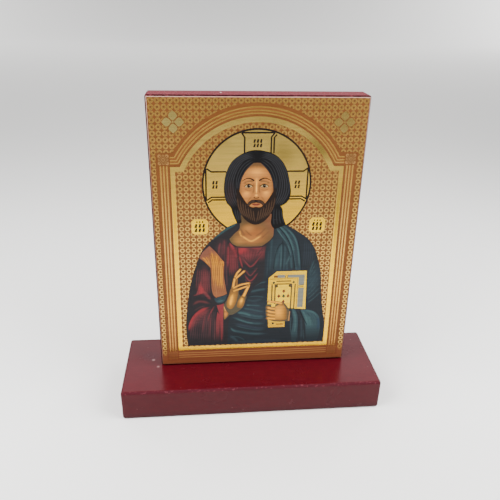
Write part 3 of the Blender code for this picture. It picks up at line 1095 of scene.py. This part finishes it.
# The raised hand.
paint(
    curve([(-12, 26.8), (-12, 26.8), (-11, 28.6), (-9.9, 31.2), (-9.2, 33.6), (-6.4, 33.4), (-5.9, 30.8),
           (-3.4, 30.6), (-3.7, 28.2), (-4.6, 25.6), (-6.6, 23.6), (-8.6, 22.3), (-9.8, 22.1),
           (-11.4, 20.3), (-12, 21.2)]),
    SKIN_RIM,
)
paint(
    curve([(-12, 26.6), (-12, 26.6), (-11.3, 24.6), (-10.1, 22.8), (-10.1, 22.8), (-11.4, 20.6),
           (-11.9, 21)]),
    SKIN_DARK,
    glow((-11.2, 22.6), 1, 1.8, "A7672E"),
    fold([(-11.9, 26.4), (-11.5, 24.8), (-11, 23.8)], 0.3, "C98A4A", 0.9),
)
paint(
    curve([(-10.9, 26.4), (-10.6, 29), (-9.9, 31.4), (-9.2, 33.8), (-6.9, 33.8), (-6.6, 31.4), (-7.2, 28),
           (-8.4, 25.4), (-9.7, 24.9)]),
    SKIN_DARK,
    glow((-8.9, 28.8), 2, 5.6, SKIN, 1, -14),
    fold([(-9.5, 26.2), (-9.2, 28.6), (-8.5, 31.6)], 0.95, SKIN_LIGHT, 1, 0.3),
)
paint(
    curve([(-6.9, 25.8), (-6.6, 28), (-5.6, 30), (-4.6, 31), (-4, 29), (-4.2, 26.8), (-5.2, 25.2)]),
    SKIN_DARK,
    glow((-5.4, 28), 1.35, 2.7, SKIN, 1, -14),
    glow((-5.2, 28.6), 0.8, 1.8, SKIN_LIGHT, 1, -14),
)
finger([(-4.5, 30.2), (-3.5, 32.6), (-2.4, 35.2)], 1.4, 0.95)
finger([(-7.6, 38), (-5.9, 39.6), (-4.2, 41.2)], 1, 0.85)
paint(rounded_band([(-7.1, 35.2), (-7, 37.6)], 0.75, 0.6), SKIN_DARK)
finger([(-8.5, 33.8), (-8.2, 36), (-7.8, 38.2)], 1.2, 1)
finger([(-7.7, 38.6), (-6.9, 40.4), (-5.7, 41.9)], 1, 0.8)
finger([(-8.5, 32.6), (-5.7, 33.7), (-2.8, 34.8)], 0.95, 0.8)
finger([(-8.5, 34), (-5.4, 35.4), (-2.2, 36)], 0.95, 0.85)

# The hand on the book.
paint(
    curve([(4.6, 26.4), (4.2, 24.2), (4.5, 21.4), (5.2, 19.9), (7.6, 18.7), (11, 18.4), (13.9, 18.6),
           (13.9, 18.6), (13.6, 23.4), (12.8, 24.9), (11.6, 26.6), (10.6, 27.4), (8, 26.4)]),
    SKIN_RIM,
)
for knuckle_v, tip_v in ((24.5, 25), (22.9, 23.5), (21.4, 21.9), (20, 20.2)):
    finger([(8.9, knuckle_v - 0.3), (6.6, knuckle_v), (4.95, tip_v)], 1.4, 1.2)
area(box(6.4, 25.3, 7.9, 26.6), BOOK_LIGHT, 0.9)
paint(
    curve([(8, 25.2), (9, 25.9), (10.6, 26.6), (12, 24.9), (13, 22.4), (12.8, 19.6), (10.4, 18.9),
           (8.4, 19.3), (7.9, 21), (8.3, 22.6), (7.8, 23.8)]),
    SKIN,
    glow((9.3, 22.8), 2.4, 3.6, SKIN_LIGHT, 0.65),
    wash((10.6, 22), (12.4, 22), SKIN_DARK, 0.8),
    wash((11.8, 22), (13.2, 22), "453C28", 0.95),
    wash((9, 20.6), (9, 18.8), SKIN_DARK, 0.9),
    wash((10.4, 25), (10.8, 26.5), SKIN_DARK, 0.7),
)
finger([(10.6, 26.5), (8.2, 27.3), (5, 27.7)], 1.3, 0.85)
paint(band(((13.5, 18.7), (13.75, 23)), 0.55, 0.3), "8C6235")

# Printed sheet: neck, hair and head.
# The head is a plain one of its own, on the usual proportions: eyes at half its height, the nose
# halfway from the brows to the chin, and the face five eyes wide.
HAIR = "070708"
HAIR_LIGHT = "27272A"
BEARD = "160E09"
BEARD_LIGHT = "422E20"
NECK_LIGHT = "C4862C"
NECK_CREASE = "4E3420"
HEAD_AXIS = -0.5
paint(
    curve([(-6.6, 66), (-6.6, 66), (-6.4, 62), (-6.2, 58.4), (-8.1, 56.3), (-9.9, 54.2), (-9.9, 54.2),
           (-9, 52.6), (-7.1, 51.3), (-7.1, 51.3), (-3, 51.1), (1.9, 51.2), (1.9, 51.2), (4.2, 52.9),
           (5.9, 54.9), (6.1, 57.6), (6, 61), (6.4, 66), (6.4, 66)]),
    "4E3C24",
    glow((-1.4, 56), 9, 5.8, "7A4822"),
    glow((-1.6, 53.8), 6, 2.6, "8C582A", 0.8),
    glow((-6.2, 53.6), 3.4, 2.4, "8C5E2C", 0.8),
    glow((-3, 58.2), 3.2, 2.4, "98642E", 0.7),
    fold([(-5.6, 55.6), (-4.4, 54.7), (-2, 53.3), (0.4, 54.5), (2, 55.8)], 0.5, NECK_LIGHT, 0.9),
    fold([(-6.1, 57.6), (-6, 56.2), (-5.3, 54.9)], 0.4, NECK_LIGHT, 0.7),
    fold([(-4.6, 58), (-2.8, 56.2), (-1.6, 55.2)], 0.5, NECK_CREASE, 0.7),
    fold([(3.4, 58.6), (1.4, 56.4), (-0.6, 55.2)], 0.5, NECK_CREASE, 0.7),
    fold([(-6.2, 58.8), (-4.9, 56.4), (-4.3, 55.4)], 0.3, NECK_CREASE, 0.7),
    fold([(1.6, 54.2), (3, 55.6), (4.8, 57.3)], 0.34, NECK_CREASE, 0.75),
    glow((-0.6, 62.6), 8.6, 3.8, "2A1C10"),
    wash((3.8, 56), (6.2, 57.6), "643C26", 0.7),
)
paint(
    band(curve([(-10, 54.1), (-9.1, 52.4), (-7, 51.1), (-2.4, 50.9), (2, 51), (4.4, 52.7), (6.2, 54.9)],
               False), 0.42),
    CLOTH_BLACK,
)
hair_outline = curve([
    (-0.5, 86.7), (-4.9, 85.8), (-8.8, 83.1), (-10.9, 79.3), (-11.75, 75), (-11.7, 71.2), (-10.9, 68.2),
    (-9.4, 66.3), (-8.6, 63.8), (-7.2, 60.4), (-7.2, 60.4), (-5.6, 60.6), (-5.4, 64), (0, 62),
    (4.8, 64), (5, 60), (6.4, 58), (8.4, 58.6), (10.5, 59.4), (10.5, 59.4), (9.4, 62.4),
    (9, 65.2), (8.3, 66.6), (8.3, 66.6), (10.2, 67.8), (11.3, 69.6), (11.6, 72.2), (10.9, 76.2),
    (9.8, 80), (7.8, 83.2), (4.6, 85.6),
])


def at_head(path, side=1):
    """Places measured from the head's axis, at its right side or, with side -1, at its left."""
    return [(HEAD_AXIS + side * u, v) for u, v in path]


hair_shades = []
for side in (-1, 1):
    parting = at_head([(0.3, 83.4), (4.9, 81.6), (7.3, 76.4), (6.9, 70.6), (5.4, 66.6)], side)
    crown = at_head([(1.3, 86.1), (7.6, 83.4), (11, 76.4), (11.2, 71.4), (8.6, 66.6)], side)
    hair_shades += pleats(parting, crown, 6, 0.3, HAIR_LIGHT, 1, 0.12)
hair_shades += pleats([(6, 66.4), (5.9, 62.4), (6.2, 59)], [(8.6, 65.6), (9, 62.4), (9.9, 59.8)], 4,
                      0.24, HAIR_LIGHT, 0.9)
hair_shades += pleats([(-8, 66), (-7.6, 63.4), (-6.8, 61)],
                      [(-6.2, 65.6), (-6.1, 63.4), (-6, 61.2)], 3, 0.22, HAIR_LIGHT, 0.9)
hair_shades.append(glow((-9.6, 71), 2.6, 7, "2A1A16", 0.45))
paint(hair_outline, HAIR, *hair_shades)


def mirrored(points):
    """Points at one side of the head's axis, with their mirror images, as one closed outline."""
    right = [(HEAD_AXIS + u, v) for u, v in points]
    left = [(HEAD_AXIS - u, v) for u, v in reversed(points) if u > 0.01]
    return curve(right + left)


FACE = "8E5A2A"
FACE_LIGHT = "C8862E"
FACE_SHADE = "4C3620"
FACE_WARM = "B87A34"
FACE_RIDGE = "A0692E"
FACE_LINE = "5E3C20"
FACE_FOLD = "6A4322"
face_rim = [(0, 82), (4.2, 81), (6.2, 78), (6.75, 74), (6.2, 69), (4.6, 65)]
face_shades = [
    fold(at_head(face_rim), 2.1, FACE_SHADE, 0.95, 0),
    fold(at_head(face_rim, -1), 2.1, FACE_SHADE, 0.95, 0),
    glow((HEAD_AXIS, 79), 4.6, 2.3, FACE_WARM, 0.95),
    glow((HEAD_AXIS, 79.2), 2.4, 1, FACE_LIGHT, 0.7),
    glow((HEAD_AXIS, 76.2), 1.3, 1.6, FACE_WARM, 0.7),
    glow((HEAD_AXIS, 68.8), 3.4, 1.3, "6E4424", 0.7),
]
for side in (-1, 1):
    face_shades += [
        glow((HEAD_AXIS + side * 3.5, 71.2), 2.3, 2, "B47432", 0.95),
        glow((HEAD_AXIS + side * 3.4, 71.6), 1.4, 0.9, FACE_LIGHT, 0.75),
        fold(at_head([(0.9, 76), (2.7, 75.7), (4.8, 75)], side), 0.75, FACE_SHADE, 0.8),
        fold(at_head([(1.6, 75.3), (2.8, 75.4), (4, 75.1)], side), 0.28, FACE_RIDGE, 0.8),
        fold(at_head([(1.15, 75.4), (0.95, 73), (1.25, 71.2)], side), 0.45, FACE_LINE, 0.85),
        fold(at_head([(1.3, 73), (2.8, 72.5), (4.3, 73.1)], side), 0.4, FACE_FOLD, 0.7),
        fold(at_head([(1.6, 70.4), (2.5, 69.2), (3.3, 67.9)], side), 0.4, FACE_FOLD, 0.7),
        fold(at_head([(0.75, 78), (2.4, 78.2), (3.9, 77.8)], side), 0.35, FACE_RIDGE, 0.6),
    ]
face_shades += [
    fold(at_head([(0, 77.2), (0, 74), (0, 71)]), 0.5, FACE_LIGHT),
    fold(at_head([(0, 76), (0, 73.6), (0, 71.4)]), 0.2, "EDB050", 0.8),
    glow((HEAD_AXIS, 70.75), 0.85, 0.6, "D8943A", 0.95),
    fold(at_head([(-1.2, 70), (0, 69.6), (1.2, 70)]), 0.34, "3C2312", 0.9),
    fold(at_head([(0, 69.3), (0, 68.4)]), 0.25, FACE_LINE, 0.7),
]
paint(
    mirrored([(0, 82.3), (3, 81.8), (5.6, 79.6), (6.8, 76), (6.7, 72), (5.8, 67.4), (4, 64.2),
              (1.8, 62.6), (0, 62.3)]),
    FACE, *face_shades,
)

# The hair parts at the middle and falls over both sides of the forehead.
for side in (-1, 1):
    lock = at_head([(0, 83.2), (0, 83.2), (2.2, 81.3), (4.3, 78.6), (5.5, 75.4), (6, 71.6),
                    (6, 71.6), (7, 71.4), (7, 71.4), (7.6, 76), (6.2, 80.8), (3, 83.8)], side)
    paint(
        curve(lock),
        HAIR,
        *pleats(at_head([(0.6, 82.6), (3.5, 80.2), (5.6, 76), (6.2, 72)], side),
                at_head([(1.4, 83.8), (4.9, 81.4), (6.9, 77), (6.9, 72)], side), 3, 0.24, HAIR_LIGHT,
                0.95, 0.2),
    )
for side in (-1, 1):
    eye = at_head([(1.36, 74.05), (2, 74.5), (2.75, 74.65), (3.5, 74.45), (4.08, 73.95), (3.4, 73.55),
                   (2.4, 73.5)], side)
    eye_middle = HEAD_AXIS + side * 2.72
    paint(curve(eye), "8E7850", glow((eye_middle, 74.05), 0.9, 0.9, "6E5A38", 0.5))
    paint(disc((eye_middle, 74.14), 0.6, 14), "1E1009")
    paint(disc((eye_middle, 74.12), 0.25, 10), "030202")
    paint(disc((eye_middle + 0.18, 74.34), 0.09, 6), "C8C0B0")
    upper_lid = at_head([(1.2, 73.95), (2, 74.62), (2.75, 74.8), (3.55, 74.58), (4.35, 73.85)], side)
    paint(band(curve(upper_lid, False), 0.3, 0.18), "0E0906")
    lower_lid = at_head([(1.7, 73.62), (2.6, 73.4), (3.7, 73.62)], side)
    paint(band(curve(lower_lid, False), 0.13), "3A2414")
    brow = at_head([(0.8, 76), (2.1, 76.75), (3.5, 76.8), (5.1, 75.9)], side)
    paint(band(curve(brow, False), 0.56, 0.16), "110C09")
    paint(disc((HEAD_AXIS + side * 0.68, 69.95), 0.18, 8), "24120A")

# The lips, then the moustache and the beard around them.
paint(
    curve(at_head([(-1.45, 67.5), (-0.6, 67.75), (0, 67.62), (0.6, 67.75), (1.45, 67.5), (0.7, 66.95),
                   (0, 66.8), (-0.7, 66.95)])),
    "6D3121",
    glow((HEAD_AXIS, 67.15), 0.8, 0.25, "8E4A32", 0.9),
)
paint(
    band(curve(at_head([(-1.5, 67.46), (-0.6, 67.42), (0, 67.3), (0.6, 67.42), (1.5, 67.46)]), False),
         0.14),
    "2A100A",
)
beard_shades = []
for side in (-1, 1):
    beard_shades += pleats(
        at_head([(6.6, 70.4), (6.1, 66.4), (4.4, 62.8)], side),
        at_head([(1, 65.4), (0.7, 62.8), (0.2, 60.4)], side),
        7, 0.26, BEARD_LIGHT, 0.95,
    )
paint(
    mirrored([(0, 66.45), (1.2, 66.3), (2.3, 66.8), (3.7, 68.4), (5.2, 70.8), (6.6, 73.2), (7, 69.8),
              (6.3, 65.9), (4.4, 62.4), (2.2, 60.4), (0, 59.7)]),
    BEARD, *beard_shades,
)
for side in (-1, 1):
    paint(
        curve(at_head([(0, 69), (1.2, 69.15), (2.5, 68.5), (3.4, 67.1), (3.6, 65.9), (2.7, 66.4),
                       (1.6, 67.65), (0, 68.1)], side)),
        BEARD,
        *pleats(at_head([(0.2, 68.9), (1.8, 68.8), (3.3, 66.9)], side),
                at_head([(0.2, 68.3), (1.6, 68), (3, 66.6)], side), 3, 0.15, BEARD_LIGHT, 0.9),
    )


# Printed sheet: the cut card.
# The face is cut along the outlines, then given its pale rounded rim and its back.
FINE_GRID = 0.22
CLOTH_GRID = 0.30
COARSE_GRID = 1.6
RIM = 0.2
RIM_STEPS = ((0.06, 0.02), (0.14, 0.08), (0.2, 0.2))
SAME_SPOT = 0.11

scale_u = (sheet_high.x - sheet_low.x) / MM / PICTURE_WIDTH
scale_v = (sheet_high.z - sheet_low.z) / MM / PICTURE_HEIGHT
sheet_middle = (sheet_low.x + sheet_high.x) / 2
half_width = SIDE - RIM


def on_sheet(spot):
    """A place in the picture as a place in the scene, on the sheet's front."""
    return Vector((
        sheet_middle + spot[0] * scale_u * MM, sheet_low.y, sheet_low.z + spot[1] * scale_v * MM))


def turns_left(outline):
    """Whether an outline runs against the clock, as the cutting needs it."""
    pairs = zip(outline, list(outline[1:]) + [outline[0]])
    return sum(a[0] * b[1] - b[0] * a[1] for a, b in pairs) > 0


corner_places = []
loops = []
for outline, *_ in areas:
    start = len(corner_places)
    for spot in (outline if turns_left(outline) else outline[::-1]):
        kept_u = min(max(spot[0], -half_width), half_width)
        kept_v = min(max(spot[1], RIM), PICTURE_HEIGHT - RIM)
        corner_places.append(Vector((kept_u, kept_v)))
    loops.append(list(range(start, len(corner_places))))

tree_of_places = kdtree.KDTree(len(corner_places))
for index, place in enumerate(corner_places):
    tree_of_places.insert((place.x, place.y, 0.0), index)
tree_of_places.balance()


def grid_places(left, bottom, right, top, pitch):
    """Places on a triangular grid, clear of the outlines' own points, that carry soft shading."""
    rows = int((top - bottom) / (pitch * 0.866))
    columns = int((right - left) / pitch)
    for row in range(rows):
        for column in range(columns):
            u = left + (column + 0.5 * (row % 2)) * pitch
            v = bottom + row * pitch * 0.866
            if tree_of_places.find((u, v, 0.0))[2] > SAME_SPOT:
                yield Vector((u, v))


soft_places = []
for left, bottom, right, top, pitch in (
    (-26.4, 8.6, 28.0, 57.8, CLOTH_GRID),
    (-12.0, 57.9, 12.0, 86.8, FINE_GRID),
    (-35.8, 87.2, 35.8, 103.5, COARSE_GRID),
    (-35.8, 58.2, -12.4, 87.0, COARSE_GRID),
    (12.6, 58.2, 35.8, 87.0, COARSE_GRID),
    (-35.8, 0.9, 35.8, 8.2, COARSE_GRID),
    (-35.8, 8.9, -27.2, 57.6, COARSE_GRID),
    (28.6, 8.9, 35.8, 57.6, COARSE_GRID),
):
    soft_places += grid_places(left, bottom, right, top, pitch)
cut_places, _, cut_faces, _, _, covering = delaunay_2d_cdt(
    corner_places + soft_places, [], loops, 0, 1e-5)
places = np.array([tuple(place) for place in cut_places])
topmost = np.array([max(cover) if cover else 0 for cover in covering])
corners = np.array(cut_faces)
# The sheet's front looks along -Y, so its faces run the other way round.
corners = corners[:, ::-1]

ink = np.zeros((len(corners), 3, 4))
ring_share = np.zeros((len(corners), 3))
for index, (outline, colour, foil, rings, shades) in enumerate(areas):
    chosen = np.nonzero(topmost == index)[0]
    used, back = np.unique(corners[chosen].ravel(), return_inverse=True)
    tint = np.tile(colour, (len(used), 1))
    for shade_colour, weight in shades:
        tint += (shade_colour - tint) * weight(places[used])[:, None]
    ink[chosen, :, :3] = tint[back].reshape(len(chosen), 3, 3)
    ink[chosen, :, 3] = foil
    ring_share[chosen] = rings

sheet_data = bpy.data.meshes.new("printed_sheet")
sheet_data.from_pydata([on_sheet(spot) for spot in places], [], corners.tolist())
ink_layer = sheet_data.color_attributes.new("ink", "FLOAT_COLOR", "CORNER")
ink_layer.data.foreach_set("color", ink.ravel())
ring_layer = sheet_data.attributes.new("rings", "FLOAT", "CORNER")
ring_layer.data.foreach_set("value", ring_share.ravel())

sheet_mesh = bmesh.new()
sheet_mesh.from_mesh(sheet_data)
sheet_centre = (sheet_low + sheet_high) / 2
edge_loop = [edge for edge in sheet_mesh.edges if edge.is_boundary]
outer_width = sheet_high.x - sheet_low.x
outer_height = sheet_high.z - sheet_low.z
previous = (0.0, 0.0)
for outward, backward in RIM_STEPS + ((RIM, (sheet_high.y - sheet_low.y) / MM),):
    grown = bmesh.ops.extrude_edge_only(sheet_mesh, edges=edge_loop)["geom"]
    rim_verts = [part for part in grown if isinstance(part, bmesh.types.BMVert)]
    edge_loop = [part for part in grown if isinstance(part, bmesh.types.BMEdge) and part.is_boundary]
    before = RIM - previous[0]
    after = RIM - outward
    stretch = Vector((
        (outer_width - 2 * after * MM) / (outer_width - 2 * before * MM), 1.0,
        (outer_height - 2 * after * MM) / (outer_height - 2 * before * MM),
    ))
    bmesh.ops.scale(
        sheet_mesh, verts=rim_verts, vec=stretch, space=Matrix.Translation(-sheet_centre))
    bmesh.ops.translate(
        sheet_mesh, verts=rim_verts, vec=(0.0, (backward - previous[1]) * MM, 0.0))
    for face in {face for edge in edge_loop for face in edge.link_faces}:
        face.material_index = 1
        face.smooth = True
    previous = (outward, backward)
for face in bmesh.ops.contextual_create(sheet_mesh, geom=edge_loop)["faces"]:
    face.material_index = 1
bmesh.ops.recalc_face_normals(sheet_mesh, faces=sheet_mesh.faces)

# Printed sheet: its materials.
# Gold hot-stamping foil under ink: it mirrors the floor and the base block, a little blurred.
RING_PITCH_U = 2.0687
RING_PITCH_V = 2.113
RING_FIRST = (-35.12, 102.82)
RING_RADIUS = 0.68
RING_GOLD = "C09446"
RING_HEART = "583818"
RING_LINK = "5E4226"
# Where each part of a ring has faded away and where it is full: its line, measured from the ring's
# radius, the dot in its middle, and the faint cross between rings.
LINE_FADE = (0.28, 0.11)
HEART_FADE = (0.45, 0.25)
LINK_FADE = (0.55, 0.15)

INK_ROUGHNESS = 0.5
INK_GLOSS_LEVEL = 0.12
FOIL_LEAN_FOOT = 0.064
FOIL_LEAN_HEAD = 0.095

# The real sizes of its patterns: drifts of tone, streaks, brush marks and the card's fibres.
DRIFT = 16.667 * MM
STREAK = 0.66667 * MM
BRUSH = 5.0 * MM
FIBRE = 0.4 * MM

foil_material, tree, shader = new_material("inked_gold_foil")
ink_node = add_node(tree, "ShaderNodeAttribute", {}, attribute_name="ink")
ringed = add_node(tree, "ShaderNodeAttribute", {}, attribute_name="rings").outputs["Fac"]
place = add_node(tree, "ShaderNodeTexCoord", {}).outputs["Object"]
ring_origin = on_sheet(RING_FIRST)
pitch_x = RING_PITCH_U * scale_u * MM
pitch_z = RING_PITCH_V * scale_v * MM
in_cells = add_node(
    tree, "ShaderNodeMapping",
    {"Vector": place, "Location": (0.5 - ring_origin.x / pitch_x, 0.0, 0.5 - ring_origin.z / pitch_z),
     "Scale": (1 / pitch_x, 0.0, 1 / pitch_z)})
in_cell = add_node(tree, "ShaderNodeVectorMath", {0: in_cells}, operation="FRACTION")
from_middle = add_node(
    tree, "ShaderNodeVectorMath", {0: in_cell, 1: (0.5, 0.0, 0.5)}, operation="SUBTRACT")
in_mm = add_node(
    tree, "ShaderNodeVectorMath", {0: from_middle, 1: (RING_PITCH_U, 0.0, RING_PITCH_U)},
    operation="MULTIPLY")
radius = add_node(tree, "ShaderNodeVectorMath", {0: in_mm}, operation="LENGTH")
off_ring = add_node(tree, "ShaderNodeMath", {0: radius, 1: RING_RADIUS}, operation="SUBTRACT")
off_ring = add_node(tree, "ShaderNodeMath", {0: off_ring}, operation="ABSOLUTE")
ring_line = add_node(
    tree, "ShaderNodeMapRange", {"Value": off_ring, "From Min": LINE_FADE[0], "From Max": LINE_FADE[1]})
heart = add_node(
    tree, "ShaderNodeMapRange",
    {"Value": radius, "From Min": HEART_FADE[0], "From Max": HEART_FADE[1]})
sides = add_node(tree, "ShaderNodeSeparateXYZ", {"Vector": in_mm})
diagonal = add_node(
    tree, "ShaderNodeMath", {0: sides.outputs["X"], 1: sides.outputs["Z"]}, operation="MULTIPLY")
diagonal = add_node(tree, "ShaderNodeMath", {0: diagonal}, operation="ABSOLUTE")
link = add_node(
    tree, "ShaderNodeMapRange",
    {"Value": diagonal, "From Min": LINK_FADE[0], "From Max": LINK_FADE[1]})
pattern = layered(
    tree, ink_node.outputs["Color"],
    [(link, RING_LINK), (heart, RING_HEART), (ring_line, RING_GOLD)])
printed = add_node(
    tree, "ShaderNodeMix", {"Factor": ringed, 6: ink_node.outputs["Color"], 7: pattern},
    data_type="RGBA")
on_ring = add_node(tree, "ShaderNodeMath", {0: ring_line, 1: ringed}, operation="MULTIPLY")
foil_share = add_node(
    tree, "ShaderNodeMix", {"Factor": on_ring, 2: ink_node.outputs["Alpha"], 3: LINE_INK})

# The foil's tone drifts a little over the sheet, and it is brushed in fine level streaks.
drift = add_node(tree, "ShaderNodeTexNoise", {"Vector": place, "Scale": 1 / DRIFT, "Detail": 2.0})
tone = add_node(
    tree, "ShaderNodeMapRange",
    {"Value": drift, "From Min": 0.3, "From Max": 0.7, "To Min": 0.95, "To Max": 1.03})
level = add_node(tree, "ShaderNodeMapping", {"Vector": place, "Scale": (0.05, 1.0, 1.0)})
streaks = add_node(tree, "ShaderNodeTexNoise", {"Vector": level, "Scale": 1 / STREAK, "Detail": 3.0})
streak_tone = add_node(
    tree, "ShaderNodeMapRange",
    {"Value": streaks, "From Min": 0.3, "From Max": 0.7, "To Min": 0.88, "To Max": 1.08})
tone = add_node(tree, "ShaderNodeMath", {0: tone, 1: streak_tone}, operation="MULTIPLY")
toned = add_node(
    tree, "ShaderNodeVectorMath", {0: printed, "Scale": tone}, operation="SCALE")
brushing = add_node(tree, "ShaderNodeTexNoise", {"Vector": place, "Scale": 1 / BRUSH, "Detail": 4.0})
polish = add_node(
    tree, "ShaderNodeMapRange",
    {"Value": brushing, "From Min": 0.3, "From Max": 0.7, "To Min": 0.16, "To Max": 0.22})
sheen = add_node(tree, "ShaderNodeMix", {"Factor": foil_share, 2: INK_ROUGHNESS, 3: polish})

# The foil's shading normal leans back, and more so towards its top, as on a slightly bowed card,
# so that it mirrors what lies further out.
normal = add_node(tree, "ShaderNodeNewGeometry", {}).outputs["Normal"]
heights = add_node(tree, "ShaderNodeSeparateXYZ", {"Vector": place})
lean = add_node(
    tree, "ShaderNodeMapRange",
    {"Value": heights.outputs["Z"], "From Min": sheet_low.z, "From Max": (sheet_low.z + sheet_high.z) / 2,
     "To Min": FOIL_LEAN_FOOT, "To Max": FOIL_LEAN_HEAD})
lean_vector = add_node(tree, "ShaderNodeCombineXYZ", {"Z": lean})
leaning = add_node(tree, "ShaderNodeVectorMath", {0: normal, 1: lean_vector}, operation="ADD")
leaning = add_node(tree, "ShaderNodeVectorMath", {0: leaning}, operation="NORMALIZE")
feed(tree, shader, {
    "Base Color": toned, "Metallic": foil_share, "Roughness": sheen,
    "Specular IOR Level": INK_GLOSS_LEVEL, "Normal": leaning,
})

# The card's cut edge is matt, pale fibre, painted darker lower down as painted shade.
CARD_BROWN = "8E6C60"
CARD_PALE = "B58E7C"
CARD_SHADE = "5E3A2E"
CARD_DARKENS_FROM = 1.0 * MM
CARD_DARK_BELOW = 25.0 * MM
CARD_ROUGHNESS = 0.6
CARD_GLOSS_LEVEL = 0.1
edge_material, edge_tree, edge_shader = new_material("cut_card_edge")
edge_place = add_node(edge_tree, "ShaderNodeTexCoord", {}).outputs["Object"]
fibres = add_node(
    edge_tree, "ShaderNodeTexNoise", {"Vector": edge_place, "Scale": 1 / FIBRE, "Detail": 3.0})
edge_parts = add_node(edge_tree, "ShaderNodeSeparateXYZ", {"Vector": edge_place})
painted_shade = add_node(
    edge_tree, "ShaderNodeMapRange",
    {"Value": edge_parts.outputs["Z"], "From Min": sheet_high.z - CARD_DARKENS_FROM,
     "From Max": sheet_high.z - CARD_DARK_BELOW, "To Max": 0.75})
feed(edge_tree, edge_shader, {
    "Base Color": layered(
        edge_tree, linear(CARD_BROWN), [(fibres, CARD_PALE), (painted_shade, CARD_SHADE)]),
    "Roughness": CARD_ROUGHNESS, "Specular IOR Level": CARD_GLOSS_LEVEL,
})

sheet_piece = finish_mesh(sheet_mesh, "printed_sheet", [foil_material, edge_material])
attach(sheet_piece, "root")
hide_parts("print_sheet")
